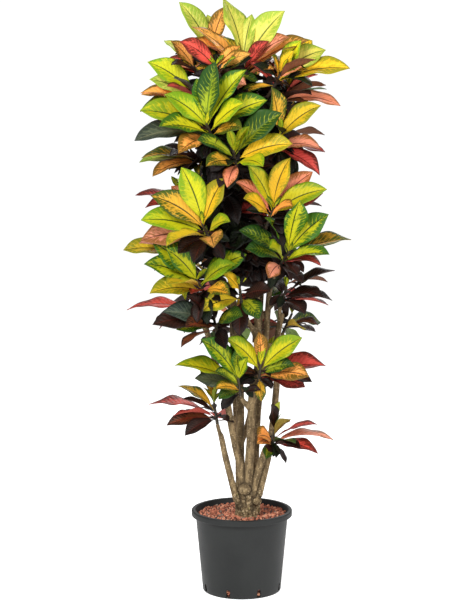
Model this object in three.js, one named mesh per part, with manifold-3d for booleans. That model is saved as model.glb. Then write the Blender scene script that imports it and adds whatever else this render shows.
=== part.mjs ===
// A potted croton: a nursery pot filled with lava granules, one piece of wood with its stump, stems
// and branches, and a leafy head at the end of each branch. Millimetres, +Z up, the front faces -Y.
// The origin is the centre of the pot's flat underside, which stands on the floor.
import * as THREE from "three";
import { mergeVertices } from "three/addons/utils/BufferGeometryUtils.js";
import Module from "manifold-3d";

const wasm = await Module();
wasm.setup();

// Pot: a conical wall under a lip that turns out and down, with drain slots at the foot of the wall.
const POT_HEIGHT = 260;
const RIM_RADIUS = 160;
const LIP_DROP = 18;
const BASE_RADIUS = 124.5;
const SHOULDER_RADIUS = 148;
const WALL = 3;
const FLOOR = 4;
const POT_SIDES = 36;
const SLOTS = 8;
const FIRST_SLOT = -20;
const SLOT_WIDTH = 12;
const SLOT_BOTTOM = 5;
const SLOT_TOP = 29;

// Pieces that touch keep this much air between them.
const GAP = 0.3;

// Filling: one mass of granules whose top lies a little below the rim.
const FILL_TOP = 248;
const GRAIN_STEP = 14;
const GRAIN_RELIEF = 3;

// Stump: its foot stands in a plain hole of the filling.
const STUMP = new THREE.Vector3(17, -20, 0);
const FOOT_RADIUS = 38;
const FOOT_BOTTOM = 150;
const FOOT_SIDES = 12;

// Each knob: centre and radius of a swelling on the stump.
const KNOBS = [
  [10, -56, 338, 21],
  [46, -44, 298, 17],
  [-6, -36, 282, 16],
  [34, 10, 300, 18],
];

// Stems: radius at the foot and at the top, and the route from the stump upwards.
const STEMS = {
  far_left: { foot: 12, top: 8.5, route: [
    [-4, -34, 262], [-17, -43, 306], [-30, -48, 352], [-44, -50, 408], [-57, -50, 465], [-66, -48, 510],
  ] },
  left: { foot: 13, top: 8, route: [
    [12, -36, 265], [2, -48, 350], [-5, -52, 412], [-18, -56, 465], [-35, -60, 553], [-45, -62, 611],
    [-76, -65, 720], [-96, -67, 790], [-118, -75, 880],
  ] },
  middle: { foot: 16, top: 7.5, route: [
    [5, 0, 262], [-4, 18, 340], [-6, 22, 450], [-6, 30, 625], [-18, 20, 800], [-34, 5, 1000],
    [-44, -18, 1180], [-62, -30, 1330], [-78, -30, 1470],
  ] },
  front: { foot: 15, top: 7, route: [
    [25, -40, 265], [20, -50, 350], [27, -55, 478], [30, -55, 575], [35, -50, 660], [50, -42, 722],
    [48, -34, 880], [46, -32, 960], [50, -36, 1100], [40, -32, 1250], [28, -26, 1400], [14, -20, 1540],
  ] },
  right: { foot: 12, top: 7, route: [
    [32, -8, 262], [42, 6, 380], [47, 15, 515], [58, 15, 650], [74, 6, 800], [82, 2, 900], [94, 8, 1050],
    [104, 8, 1200], [110, 2, 1350], [114, 4, 1480],
  ] },
  low_right: { foot: 13, top: 10, route: [
    [30, -38, 262], [38, -46, 335], [51, -52, 390], [65, -54, 435], [76, -54, 468],
  ] },
  far_right: { foot: 13, top: 9, route: [
    [42, -30, 262], [52, -38, 310], [72, -42, 395], [86, -36, 460], [98, -18, 540], [107, 0, 625],
    [113, 10, 722], [114, 14, 818], [126, 12, 885],
  ] },
  back: { foot: 12, top: 7, route: [
    [12, 8, 262], [-2, 45, 350], [-12, 72, 460], [-22, 90, 650], [-30, 94, 850], [-34, 90, 1050],
    [-40, 92, 1250], [-50, 96, 1420], [-55, 100, 1520],
  ] },
  back_right: { foot: 10, top: 7, route: [
    [-10, 68, 440], [20, 80, 520], [48, 88, 700], [60, 92, 900], [70, 96, 1100], [72, 100, 1300],
    [78, 108, 1450],
  ] },
};
const STEM_SIDES = 6;
const STEM_STEP = 150;
const BRANCH_SIDES = 5;
const BRANCH_STEPS = 3;

// Leafy shoot at each branch end, which leans away from the plant's middle.
const SHOOT_LENGTH = 70;
const SHOOT_RADIUS = 5.5;
const SHOOT_TOP_RADIUS = 4;
const SHOOT_SIDES = 4;
const LEAN = 0.75;
const FULL_LEAN_AT = 150;
const MIDDLE = new THREE.Vector2(15, 0);

// Leaf: stations along the midrib as shares of its length, and what all leaves share.
const STATIONS = [0, 0.36, 0.68, 1];
const BROADEST_POWER = 1.2;
const ROOT_FULLNESS = 0.7;
const TIP_SLIMMING = 0.3;
const STALK_END = 0.12;
const STALK_HALF_WIDTH = 1.3;
const STALK_HALF_HEIGHT = 1.3;
const BLADE_HALF_THICKNESS = 0.9;
const WIDTH_SHARE = 0.44;
const TURN_TO_FRONT = 0.4;
const TURN_OF_RISING = 0.9;
const TURN_BELOW_EYE = 0.1;
const BELOW_EYE = 650;
const BACK_FROM = 100;
const BACK_SPREAD = 75;
const WAVE = 0.13;
const LEAF_CLEARANCE = 1.5;

// Further leaves stand in a spiral, from the oldest at the shoot's foot to the youngest at its tip.
const GOLDEN_ANGLE = 137.5;
const OLDEST = { rise: -38, reach: 160, down: 0.8 };
const YOUNGEST = { rise: 57, reach: 125, down: 0.1 };

// Slivers smaller than this are taken out of a joined solid.
const WOOD_TOLERANCE = 1.3;
const HEAD_TOLERANCE = 0.3;

// What a leaf may do to pass its neighbours: swing sideways and lift in degrees, and a share of length.
const YIELDS = [
  [0, 0, 1], [8, 0, 1], [-8, 0, 1], [0, 8, 1], [0, -8, 1], [14, 7, 0.96], [-14, 7, 0.96], [14, -8, 0.96],
  [-14, -8, 0.96], [0, 15, 0.94], [22, 0, 0.92], [-22, 0, 0.92], [0, -16, 0.92], [26, 12, 0.88],
  [-26, 12, 0.88], [28, -12, 0.86], [-28, -12, 0.86], [40, 5, 0.84], [-40, 5, 0.84], [0, 26, 0.8],
  [52, 10, 0.78], [-52, 10, 0.78], [12, 0, 0.66], [-12, 0, 0.66],
];

// Leaf tones from the youngest to the oldest, with the colour of the node that one gives its name to.
const TONES = {
  lime: 0xb9c923, pale: 0xd9d96e, yellow: 0xdcc431, olive: 0xa8992a, orange: 0xd98d3a, green: 0x4f8a24,
  coral: 0xd9785c, red: 0xb83f38, dark: 0x24502a, slate: 0x5d6b62, brown: 0x7a4530, maroon: 0x43201f,
};
const OLD_TONES = ["maroon", "dark", "red", "brown", "maroon", "green"];
const YOUNG_TONES = ["orange", "green", "yellow", "olive", "coral", "lime"];

// Heads: the crown is the shoot's tip, fork is the height at which the branch leaves its stem. Each
// shown leaf has its tone, its tip's place from the crown and, where it isn't the usual one, how far
// its upper face turns to the front; more is the number of further leaves.
const HEADS = [
  { name: "top", stem: "front", fork: 1530, crown: [3, -20, 1661], more: 3, shown: [
    ["lime", -62, 30, 203, 0.1], ["lime", 128, -15, 160], ["pale", 22, 45, 158],
    ["orange", -157, -20, 112, 0.4], ["orange", -150, -55, 72, 0.4], ["olive", -62, -50, 78],
    ["red", 80, 20, 65, 1.5],
    ["orange", 193, -60, 70, 0.2], ["coral", 153, -75, 56, 0.3], ["coral", -16, -80, -78, 1],
  ] },
  { name: "top_back_left", stem: "back", fork: 1500, crown: [-100, 75, 1703], more: 4, shown: [
    ["lime", -96, 0, 152], ["orange", 49, -30, 137, 1.4], ["pale", -8, 45, 116],
  ] },
  { name: "top_left", stem: "middle", fork: 1460, crown: [-158, 10, 1665], more: 3, shown: [
    ["orange", -60, -40, 66, 1.3], ["pale", -85, 45, 70, -0.2], ["maroon", -57, -90, -8, 0.9],
    ["brown", 8, -35, 60],
  ] },
  { name: "top_left_young", stem: "middle", fork: 1440, crown: [-82, -88, 1655], more: 3, shown: [
    ["red", -105, -30, 70, 0.6], ["maroon", -40, -70, -50], ["green", 64, -50, 22, 0],
  ] },
  { name: "upper_left", stem: "middle", fork: 1380, crown: [-153, -40, 1570], more: 2, shown: [
    ["slate", -52, -95, 46], ["pale", -130, -10, 44, 0.7], ["orange", -156, -30, 2, 0.5],
    ["orange", -151, 20, 22], ["olive", -159, -20, -28], ["red", -72, -100, 22, 0.9],
    ["lime", -119, -10, 116],
  ] },
  { name: "upper_front_left", stem: "middle", fork: 1340, crown: [-108, -150, 1480], more: 1, shown: [
    ["dark", 17, -25, 189], ["green", 97, -10, 175, 0.5], ["green", -30, 40, 136],
    ["lime", -124, -30, 86, 0.5], ["lime", -198, -10, 39], ["green", -152, -70, -8],
    ["slate", -214, -25, -51], ["orange", -80, -90, -87], ["lime", 113, -75, 60, 1],
    ["olive", 108, -85, -14], ["green", 184, 20, 70],
  ] },
  { name: "upper_front", stem: "front", fork: 1240, crown: [-26, -160, 1400], more: 1, shown: [
    ["dark", 147, 0, 112], ["yellow", 177, -25, 20], ["lime", 88, -90, -45], ["coral", -18, -75, -108],
    ["olive", -80, -105, -44, 1], ["dark", -108, -70, 32], ["lime", 62, 20, 70], ["lime", -18, -10, 66],
  ] },
  { name: "upper_left_low", stem: "middle", fork: 1230, crown: [-160, -20, 1400], more: 3, shown: [
    ["olive", -147, -60, -25], ["orange", -115, -90, -56, 1], ["maroon", -60, -110, -38],
    ["pale", -159, 25, -41], ["maroon", -10, -110, -62], ["olive", 30, -90, -72],
  ] },
  { name: "mid_left", stem: "middle", fork: 1010, crown: [-121, -150, 1178], more: 1, shown: [
    ["lime", -62, -10, 172], ["olive", -154, -20, 86], ["lime", -184, -20, 13], ["coral", -187, 10, -52],
    ["yellow", -103, -110, -58], ["orange", 37, -140, -60, 1.2], ["yellow", 69, -25, 140],
    ["lime", 85, -70, 13, 0.7], ["coral", -88, 20, 132], ["maroon", -72, -45, -86, 0.8],
    ["maroon", -20, -70, -128],
  ] },
  { name: "mid_front_right", stem: "front", fork: 1060, crown: [97, -140, 1226], more: 2, shown: [
    ["coral", -119, -30, 81], ["lime", -104, 0, 124], ["yellow", -107, -80, 34], ["yellow", 48, -20, 152],
    ["lime", 158, -40, 58], ["orange", 51, -100, 12, 1.2], ["coral", 119, 40, 108], ["red", 150, 40, 42],
  ] },
  { name: "mid_right", stem: "right", fork: 940, crown: [144, -110, 1092], more: 1, shown: [
    ["green", 5, -70, 180], ["green", 119, -30, 115], ["dark", 49, 45, 114], ["green", -62, -40, 118, 0.5],
    ["olive", 190, 0, 35, 0.1], ["green", 119, -80, -3], ["dark", -154, -35, 66], ["dark", -134, -55, 12],
    ["lime", -62, -120, 20, 1], ["red", 94, -65, -38, 0.3], ["coral", -64, -80, -75],
  ] },
  { name: "low_mid_left", stem: "left", fork: 860, crown: [-140, -130, 1008], more: 1, shown: [
    ["green", -132, -20, 114], ["green", -90, -45, 98], ["green", -158, -20, 48], ["yellow", -114, -85, 20],
    ["yellow", -139, -56, -38], ["lime", 119, -40, 51], ["green", 140, 5, 94],
    ["olive", 104, -100, -36, 0.8], ["red", -14, -74, -36],
  ] },
  { name: "low_left", stem: "left", fork: 770, crown: [-88, -112, 893], lean: [-0.2, -0.6], more: 3, shown: [
    ["slate", -152, -50, 18], ["maroon", -79, -70, 70, 0.9], ["maroon", -185, -40, -22],
    ["brown", -100, -90, -22, 0.7], ["brown", -98, -50, -90, -0.5], ["dark", 90, -95, 12, 1],
    ["night", 38, -80, -92, 1],
  ] },
  { name: "right", stem: "far_right", fork: 860, crown: [140, -30, 975], lean: [0.3, -0.35],
    more: 4, shown: [
    ["maroon", 148, -20, 52, -0.1], ["maroon", 101, -92, 1, 0.5], ["maroon", 135, -50, -20, 0],
    ["red", 129, -15, -57, -0.1], ["maroon", 54, -90, -75, 0.6],
  ] },
  { name: "low_right", stem: "far_right", fork: 740, crown: [160, 60, 880], lean: [0.5, 0.5],
    more: 4, shown: [
    ["maroon", 71, -75, -49, 0.7], ["brown", 78, -95, -26], ["yellow", 59, -105, -22, 0.5],
  ] },
  { name: "bottom_front", stem: "front", fork: 585, crown: [-12, -112, 700], more: 1, shown: [
    ["green", -86, -60, 150, 1], ["green", 30, -40, 72], ["green", -10, -30, 90],
    ["lime", -194, -5, 40, -0.1], ["dark", -70, -50, 30], ["slate", -142, 50, -20, 0.3],
    ["olive", -71, -50, -27, 0.7], ["dark", -60, -40, -60, 0.6], ["dark", 10, 60, 130],
  ] },
  { name: "bottom_right", stem: "front", fork: 600, crown: [58, -106, 740], lean: [0.1, -0.6],
    more: 1, shown: [
    ["lime", -122, -40, 69, 0.9], ["orange", -7, -10, 104, 0.9], ["lime", 127, -15, 87],
    ["dark", 103, -40, 3, 0.4], ["orange", 146, -60, -27, 0.2], ["red", 201, 0, -8, 0],
    ["maroon", 159, 10, -55, 0], ["red", 139, -20, -53, 0.1], ["olive", 2, -25, -111, 0.25],
  ] },
  { name: "lowest_left", stem: "far_left", fork: 490, crown: [-88, -42, 612], lean: [-0.16, 0],
    more: 1, shown: [
    ["red", -203, 0, -7, -0.2], ["maroon", -97, -40, 17, 0.35], ["red", -125, -60, -32, -0.15],
    ["brown", -142, -50, -69, 0.9], ["maroon", -99, -70, -90, 0.9], ["olive", -114, 25, 47],
    ["lime", 12, -20, 60], ["olive", -32, 35, 143, 0.9],
  ] },
  { name: "lowest_right", stem: "low_right", fork: 450, crown: [104, -66, 532], lean: [0.24, -0.14],
    more: 0, shown: [
    ["orange", -58, -105, -26, 1.5], ["coral", 181, -20, -32, 0], ["red", 130, -35, 21, -0.15],
    ["olive", 47, -50, 40], ["dark", 60, -100, -25, 0.2], ["red", 131, -62, -66, 0.2],
    ["maroon", 75, -85, -63, 0], ["dark", -30, -75, -80, 1], ["maroon", -14, -40, 84, 1.2],
    ["lime", 28, -20, 90],
  ] },
  { name: "top_right", stem: "front", fork: 1490, crown: [124, -60, 1640], more: 1, shown: [
    ["yellow", 204, -20, 6, 0.5], ["lime", 120, 30, 83, 0.8], ["yellow", 102, 60, 118, 0.2],
    ["brown", 109, -60, 30, 0.1], ["olive", -34, -50, 44], ["yellow", 30, -50, 54], ["lime", 58, -10, 90],
    ["pale", 20, 50, 116],
  ] },
  { name: "top_right_low", stem: "right", fork: 1460, crown: [140, 20, 1586], more: 3, shown: [
    ["coral", -31, -80, 67, 0.9], ["red", 92, -60, 42, 0.4], ["brown", 112, -40, 30, 0.1],
    ["coral", 164, -30, -26, 0.8], ["maroon", 72, -105, -19], ["brown", 68, -70, -50, 0.5],
    ["dark", 126, 60, 0, 0],
  ] },
  { name: "upper_right", stem: "right", fork: 1310, crown: [120, -50, 1448], more: 3, shown: [
    ["yellow", 120, -40, 86], ["coral", 116, -75, -43], ["red", 135, -40, -33, 0.3],
    ["red", 118, -20, -126], ["olive", -31, -60, 141], ["brown", 84, 35, 110],
  ] },
  { name: "low_front", stem: "front", fork: 800, crown: [-8, -110, 987], more: 1, shown: [
    ["yellow", -115, -60, -52, 0.9], ["yellow", -58, -35, 54], ["maroon", -50, -60, -150],
    ["dark", 60, -90, -93], ["maroon", 95, -60, -12, 0.7], ["maroon", 40, 30, 60],
  ] },
  { name: "left", stem: "middle", fork: 1090, crown: [-195, 30, 1268], more: 3, shown: [
    ["red", -138, -10, -12, 0.2], ["red", -105, -55, -48],
  ] },
  { name: "inner", stem: "front", fork: 1000, crown: [22, -60, 1120], more: 4, shown: [
    ["olive", 8, -70, -28], ["maroon", -76, -70, -14], ["maroon", 70, -70, -70],
  ] },
  { name: "mid_left_low", stem: "middle", fork: 930, crown: [-205, 0, 1105], more: 4, shown: [
    ["yellow", -165, -15, -18], ["coral", -112, -75, 8],
  ] },
  { name: "left_low", stem: "left", fork: 760, crown: [-180, 10, 930], more: 4, shown: [
    ["red", -182, 0, -34, 0.15], ["slate", -90, -85, -66],
  ] },
  { name: "back_top", stem: "back_right", fork: 1430, crown: [40, 150, 1610], more: 6, shown: [] },
  { name: "back_top_left", stem: "back", fork: 1360, crown: [-110, 165, 1500], more: 6, shown: [] },
  { name: "back_top_right", stem: "back_right", fork: 1340, crown: [135, 150, 1460], more: 6, shown: [] },
  { name: "back_mid", stem: "back", fork: 1230, crown: [10, 190, 1370], more: 6, shown: [] },
  { name: "back_left", stem: "back", fork: 1130, crown: [-130, 165, 1270], more: 6, shown: [] },
  { name: "back_right_high", stem: "back_right", fork: 1110, crown: [140, 140, 1235], more: 6, shown: [] },
  { name: "back_low_mid", stem: "back_right", fork: 960, crown: [25, 195, 1120], more: 7, shown: [] },
  { name: "back_left_low", stem: "back", fork: 880, crown: [-125, 150, 1020], more: 6, shown: [] },
  { name: "back_right", stem: "back_right", fork: 850, crown: [150, 130, 990], more: 6, shown: [] },
  { name: "back_low", stem: "back", fork: 740, crown: [-20, 180, 850], more: 6, shown: [] },
  { name: "back_bottom", stem: "back_right", fork: 600, crown: [85, 150, 720], more: 6, shown: [] },
];

const radians = THREE.MathUtils.degToRad;
const degrees = THREE.MathUtils.radToDeg;
const { clamp, lerp } = THREE.MathUtils;

// Seeded draws from 0 to 1, the same for a leaf whatever was made before it.
function drawsFor(head, leaf) {
  let state = head * 64 + leaf + 1;
  const draw = () => {
    state = (Math.imul(1664525, state) + 1013904223) >>> 0;
    return state / 4294967296;
  };
  draw();
  draw();
  return draw;
}

// A closed three.js geometry as a solid that can be joined and cut.
function solidOf(geometry) {
  const bare = geometry.clone();
  bare.deleteAttribute("normal");
  bare.deleteAttribute("uv");
  const merged = mergeVertices(bare, 1e-4);
  return new wasm.Manifold(new wasm.Mesh({
    numProp: 3,
    vertProperties: merged.getAttribute("position").array,
    triVerts: new Uint32Array(merged.index.array),
  }));
}

// The joined solid without its slivers, and with any hollow that the joining sealed filled.
function tidied(solid, tolerance) {
  const bodies = solid.asOriginal().simplify(tolerance).decompose();
  return bodies.reduce((largest, body) => (body.volume() > largest.volume() ? body : largest));
}

// A solid as a named mesh with its own material.
function meshOf(name, solid, colour, roughness) {
  const data = solid.getMesh();
  const geometry = new THREE.BufferGeometry()
    .setAttribute("position", new THREE.BufferAttribute(data.vertProperties, 3))
    .setIndex(new THREE.BufferAttribute(data.triVerts, 1));
  geometry.computeVertexNormals();
  const material = new THREE.MeshStandardMaterial({ color: colour, roughness, metalness: 0 });
  const mesh = new THREE.Mesh(geometry, material);
  mesh.name = name;
  return mesh;
}

function turned(profile, sides) {
  const points = profile.map(([radius, height]) => new THREE.Vector2(radius, height));
  return new THREE.LatheGeometry(points, sides).rotateX(Math.PI / 2);
}

const wallInside = (height) =>
  BASE_RADIUS - WALL + (SHOULDER_RADIUS - BASE_RADIUS) * (height - FLOOR) / (POT_HEIGHT - FLOOR);

function makePot() {
  const lipFoot = POT_HEIGHT - LIP_DROP;
  const flange = POT_HEIGHT - 6;
  let pot = solidOf(turned([
    [0, 0], [BASE_RADIUS - 3, 0], [BASE_RADIUS, 3],
    [SHOULDER_RADIUS, flange], [RIM_RADIUS - WALL, flange], [RIM_RADIUS - WALL, lipFoot],
    [RIM_RADIUS, lipFoot], [RIM_RADIUS, POT_HEIGHT - 4], [RIM_RADIUS - 4, POT_HEIGHT],
    [SHOULDER_RADIUS, POT_HEIGHT], [wallInside(POT_HEIGHT - 4), POT_HEIGHT - 4],
    [wallInside(FLOOR), FLOOR], [0, FLOOR],
  ], POT_SIDES));
  const half = SLOT_WIDTH / 2;
  const outline = new THREE.Shape()
    .moveTo(-half, SLOT_BOTTOM)
    .lineTo(half, SLOT_BOTTOM)
    .lineTo(half, SLOT_TOP - half)
    .absarc(0, SLOT_TOP - half, half, 0, Math.PI);
  for (let i = 0; i < SLOTS; i += 1) {
    const options = { depth: 8 * WALL, bevelEnabled: false, curveSegments: 3 };
    const slot = new THREE.ExtrudeGeometry(outline, options)
      .rotateX(Math.PI / 2)
      .translate(0, 4 * WALL - BASE_RADIUS, 0)
      .rotateZ(radians(FIRST_SLOT + i * 360 / SLOTS));
    pot = pot.subtract(solidOf(slot));
  }
  return tidied(pot, GAP / 3);
}

// Granules lie in rings; each ring's points rise and fall at random but repeatably.
const grain = (x, y) =>
  Math.sin(0.91 * x + 3 * Math.sin(0.37 * y)) * Math.sin(0.83 * y + 2 * Math.sin(0.41 * x));

function makeSubstrate() {
  const edge = wallInside(FILL_TOP) - GAP;
  const rings = [];
  for (let radius = edge - GRAIN_STEP; radius > GRAIN_STEP; radius -= GRAIN_STEP) {
    rings.push([radius, FILL_TOP]);
  }
  const fill = turned([
    [0, FLOOR + GAP], [wallInside(FLOOR) - GAP, FLOOR + GAP], [edge, FILL_TOP - 1], ...rings, [0, FILL_TOP],
  ], POT_SIDES);
  const position = fill.getAttribute("position");
  for (let i = 0; i < position.count; i += 1) {
    if (position.getZ(i) > FILL_TOP - 0.5) {
      position.setZ(i, FILL_TOP + GRAIN_RELIEF * grain(position.getX(i), position.getY(i)));
    }
  }
  const deep = FOOT_BOTTOM - GAP;
  const wide = FOOT_RADIUS + GAP;
  const hole = new THREE.CylinderGeometry(wide, wide, POT_HEIGHT - deep, FOOT_SIDES)
    .rotateX(Math.PI / 2)
    .translate(STUMP.x, STUMP.y, (POT_HEIGHT + deep) / 2);
  return tidied(solidOf(fill).subtract(solidOf(hole)), GAP / 3);
}

// A round limb along a curve, thinner towards its end, with flat ends square to the curve.
function limb(curve, foot, top, sides, steps) {
  const geometry = new THREE.CylinderGeometry(top, foot, 1, sides, steps);
  const position = geometry.getAttribute("position");
  const side = new THREE.Vector3(1, 0, 0);
  for (let i = 0; i < position.count; i += 1) {
    const along = clamp(position.getY(i) + 0.5, 0, 1);
    const tangent = curve.getTangent(along);
    const back = new THREE.Vector3().crossVectors(tangent, side).normalize();
    const across = new THREE.Vector3().crossVectors(back, tangent);
    const point = curve.getPoint(along)
      .addScaledVector(across, position.getX(i))
      .addScaledVector(back, -position.getZ(i));
    position.setXYZ(i, point.x, point.y, point.z);
  }
  return solidOf(geometry);
}

// Where a stem is at a given height, and its radius there.
function stemAt(stem, height) {
  const { curve, foot, top } = stem;
  let low = 0;
  let high = 1;
  for (let i = 0; i < 30; i += 1) {
    const middle = (low + high) / 2;
    if (curve.getPoint(middle).z < height) low = middle;
    else high = middle;
  }
  return { point: curve.getPoint(low), tangent: curve.getTangent(low), radius: foot + (top - foot) * low };
}

// The direction in which a head's shoot grows.
function axisOf(head) {
  const [x, y] = head.crown;
  const out = new THREE.Vector2(x, y).sub(MIDDLE).divideScalar(FULL_LEAN_AT);
  out.clampLength(0, 1).multiplyScalar(LEAN);
  const [leanX, leanY] = head.lean ?? [out.x, out.y];
  return new THREE.Vector3(leanX, leanY, 1).normalize();
}

// Wood: the stump with its foot and knobs, the stems, and a branch to each head, as separate limbs.
function makeLimbs() {
  const stump = turned([
    [0, FOOT_BOTTOM], [FOOT_RADIUS, FOOT_BOTTOM], [FOOT_RADIUS, 251], [41, 256], [39, 275], [30, 305],
    [14, 330], [0, 334],
  ], FOOT_SIDES).translate(STUMP.x, STUMP.y, 0);
  const limbs = [solidOf(stump)];
  for (const [x, y, z, radius] of KNOBS) {
    limbs.push(solidOf(new THREE.SphereGeometry(radius, 7, 5).translate(x, y, z)));
  }
  for (const stem of Object.values(STEMS)) {
    stem.curve = new THREE.CatmullRomCurve3(stem.route.map((point) => new THREE.Vector3(...point)));
    const steps = Math.ceil(stem.curve.getLength() / STEM_STEP);
    limbs.push(limb(stem.curve, stem.foot, stem.top, STEM_SIDES, steps));
  }
  for (const head of HEADS) {
    const start = stemAt(STEMS[head.stem], head.fork);
    const end = head.base;
    const pull = end.distanceTo(start.point) / 3;
    const route = new THREE.CubicBezierCurve3(
      start.point,
      start.point.clone().addScaledVector(start.tangent, pull / 3),
      end.clone().addScaledVector(head.axis, -pull),
      end,
    );
    limbs.push(limb(route, 0.85 * start.radius, SHOOT_RADIUS, BRANCH_SIDES, BRANCH_STEPS));
  }
  return limbs;
}

// What each leaf of a head is: tone, root on the shoot, and the straight line from root to tip.
function leavesOf(head, headIndex) {
  const leaves = head.shown.map(([tone, x, y, z, toFront], i) => {
    const rise = degrees(Math.atan2(z, Math.hypot(x, y)));
    const down = SHOOT_LENGTH * clamp(0.62 - rise / 130, 0.06, 0.8);
    const line = new THREE.Vector3(x, y, z).addScaledVector(head.axis, down);
    return { ...leafFor(tone, down, line, drawsFor(headIndex, i)), toFront };
  });
  for (let i = 0; i < head.more; i += 1) {
    const draw = drawsFor(headIndex, 32 + i);
    const age = head.shown.length ? 0.5 * (i + 0.5) / head.more : (i + 0.5) / head.more;
    const tones = age < 0.5 ? OLD_TONES : YOUNG_TONES;
    const tone = tones[Math.floor(draw() * tones.length)];
    const spread = head.shown.length ? BACK_SPREAD : 180;
    const side = 2 * ((GOLDEN_ANGLE / 360 * i + 0.5) % 1) - 1;
    const turn = radians(90 + spread * side + 30 * (draw() - 0.5));
    const rise = radians(lerp(OLDEST.rise, YOUNGEST.rise, age) + 14 * (draw() - 0.5));
    const reach = lerp(OLDEST.reach, YOUNGEST.reach, age) + 24 * (draw() - 0.5);
    const line = new THREE.Vector3(
      reach * Math.cos(rise) * Math.cos(turn),
      reach * Math.cos(rise) * Math.sin(turn),
      reach * Math.sin(rise),
    );
    leaves.push(leafFor(tone, SHOOT_LENGTH * lerp(OLDEST.down, YOUNGEST.down, age), line, draw));
  }
  return leaves;
}

function leafFor(tone, down, line, draw) {
  return {
    tone,
    down,
    turn: Math.atan2(line.y, line.x),
    rise: Math.atan2(line.z, Math.hypot(line.x, line.y)),
    reach: line.length(),
    bend: radians(18 + 22 * down / SHOOT_LENGTH + 16 * draw()),
    width: WIDTH_SHARE * line.length() * (0.9 + 0.2 * draw()),
    fold: radians(10 + 16 * draw()),
    roll: 0.5 * (draw() - 0.5),
    phase: 6.28 * draw(),
  };
}

// Half the blade's width at a share of the leaf's length: a thin stalk, then broadest past the middle
// and slimming to a drawn-out tip.
function halfWidth(leaf, share) {
  if (share <= STALK_END) return STALK_HALF_WIDTH;
  const along = (share - STALK_END) / (1 - STALK_END);
  const swell = Math.sin(Math.PI * along ** BROADEST_POWER);
  return 0.5 * leaf.width * swell ** (ROOT_FULLNESS + TIP_SLIMMING * along);
}

// How much a leaf's upper face turns to the front: steep leaves more, those far below the eye hardly.
function turnToFront(head, leaf) {
  const [, y, z] = head.crown;
  if (leaf.toFront !== undefined) return leaf.toFront;
  if (y >= BACK_FROM) return 0;
  return z < BELOW_EYE ? TURN_BELOW_EYE : TURN_TO_FRONT + TURN_OF_RISING * Math.max(0, Math.sin(leaf.rise));
}

// A leaf as a closed solid with four points at each station: left edge, midrib above, right edge and
// midrib below. margin makes it fatter all round, and the stations before first are left out.
function leafSolid(head, leaf, [swing, lift, share], margin, first) {
  const turn = leaf.turn + radians(swing);
  const start = leaf.rise + radians(lift) + leaf.bend / 2;
  const length = leaf.reach * share * (leaf.bend / 2) / Math.sin(leaf.bend / 2);
  const ahead = new THREE.Vector3(Math.cos(turn), Math.sin(turn), 0);
  const beside = new THREE.Vector3(-ahead.y, ahead.x, 0);
  const root = new THREE.Vector3(...head.crown).addScaledVector(head.axis, -leaf.down);
  const facing = head.axis.clone().addScaledVector(ahead, -0.35).addScaledVector(beside, leaf.roll);
  facing.y -= turnToFront(head, leaf);
  const corners = [];
  STATIONS.slice(first).forEach((along) => {
    const slope = start - leaf.bend * along;
    const out = length * (Math.sin(start) - Math.sin(slope)) / leaf.bend;
    const up = length * (Math.cos(slope) - Math.cos(start)) / leaf.bend;
    const point = root.clone().addScaledVector(ahead, out);
    point.z += up;
    const tangent = ahead.clone().multiplyScalar(Math.cos(slope));
    tangent.z += Math.sin(slope);
    if (along === 1) {
      corners.push(point.addScaledVector(tangent, margin));
      return;
    }
    const above = facing.clone().addScaledVector(tangent, -facing.dot(tangent)).normalize();
    const left = new THREE.Vector3().crossVectors(above, tangent);
    const stalk = along <= STALK_END;
    const wide = halfWidth(leaf, along) * (stalk ? 1 : share) + margin;
    const thick = (stalk ? STALK_HALF_HEIGHT : BLADE_HALF_THICKNESS) + margin;
    const edge = (side) => {
      const wave = stalk ? 0 : WAVE * wide * Math.sin(7 * along + leaf.phase + 1.3 * side);
      return point.clone()
        .addScaledVector(left, side * wide * Math.cos(leaf.fold))
        .addScaledVector(above, (stalk ? 0 : wide * Math.sin(leaf.fold)) + wave);
    };
    corners.push(
      edge(1),
      point.clone().addScaledVector(above, thick),
      edge(-1),
      point.clone().addScaledVector(above, -thick),
    );
  });
  const faces = [0, 2, 1, 0, 3, 2];
  const tip = corners.length - 1;
  for (let left = 0; left < tip; left += 4) {
    const [above, right, below, next] = [left + 1, left + 2, left + 3, left + 4];
    if (next === tip) {
      faces.push(left, above, tip, above, right, tip, right, below, tip, below, left, tip);
    } else {
      faces.push(left, above, above + 4, left, above + 4, next);
      faces.push(right, above + 4, above, right, right + 4, above + 4);
      faces.push(left, below + 4, below, left, next, below + 4);
      faces.push(right, below, below + 4, right, below + 4, right + 4);
    }
  }
  return solidOf(new THREE.BufferGeometry().setFromPoints(corners).setIndex(faces));
}

function boxOf(solid) {
  const { min, max } = solid.boundingBox();
  return new THREE.Box3(new THREE.Vector3(...min), new THREE.Vector3(...max));
}

const barrier = (solid, owner) => ({ solid, owner, box: boxOf(solid) });

function meets(solid, barriers) {
  const box = boxOf(solid);
  return barriers.some((other) => other.box.intersectsBox(box) && !solid.intersect(other.solid).isEmpty());
}

HEADS.forEach((head) => {
  head.axis = axisOf(head);
  head.base = new THREE.Vector3(...head.crown).addScaledVector(head.axis, -SHOOT_LENGTH - GAP);
});

const limbs = makeLimbs();
const wood = tidied(limbs.reduce((sum, next) => sum.add(next)), WOOD_TOLERANCE);
const walls = limbs.map((solid) => barrier(solid, null));
const blades = [];
const others = (head) => walls.filter(({ owner }) => owner !== head);

HEADS.forEach((head) => {
  const foot = new THREE.Vector3(...head.crown).addScaledVector(head.axis, -SHOOT_LENGTH);
  const shoot = new THREE.LineCurve3(foot, new THREE.Vector3(...head.crown));
  head.solid = limb(shoot, SHOOT_RADIUS, SHOOT_TOP_RADIUS, SHOOT_SIDES, 1);
  walls.push(barrier(head.solid, head));
});

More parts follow.
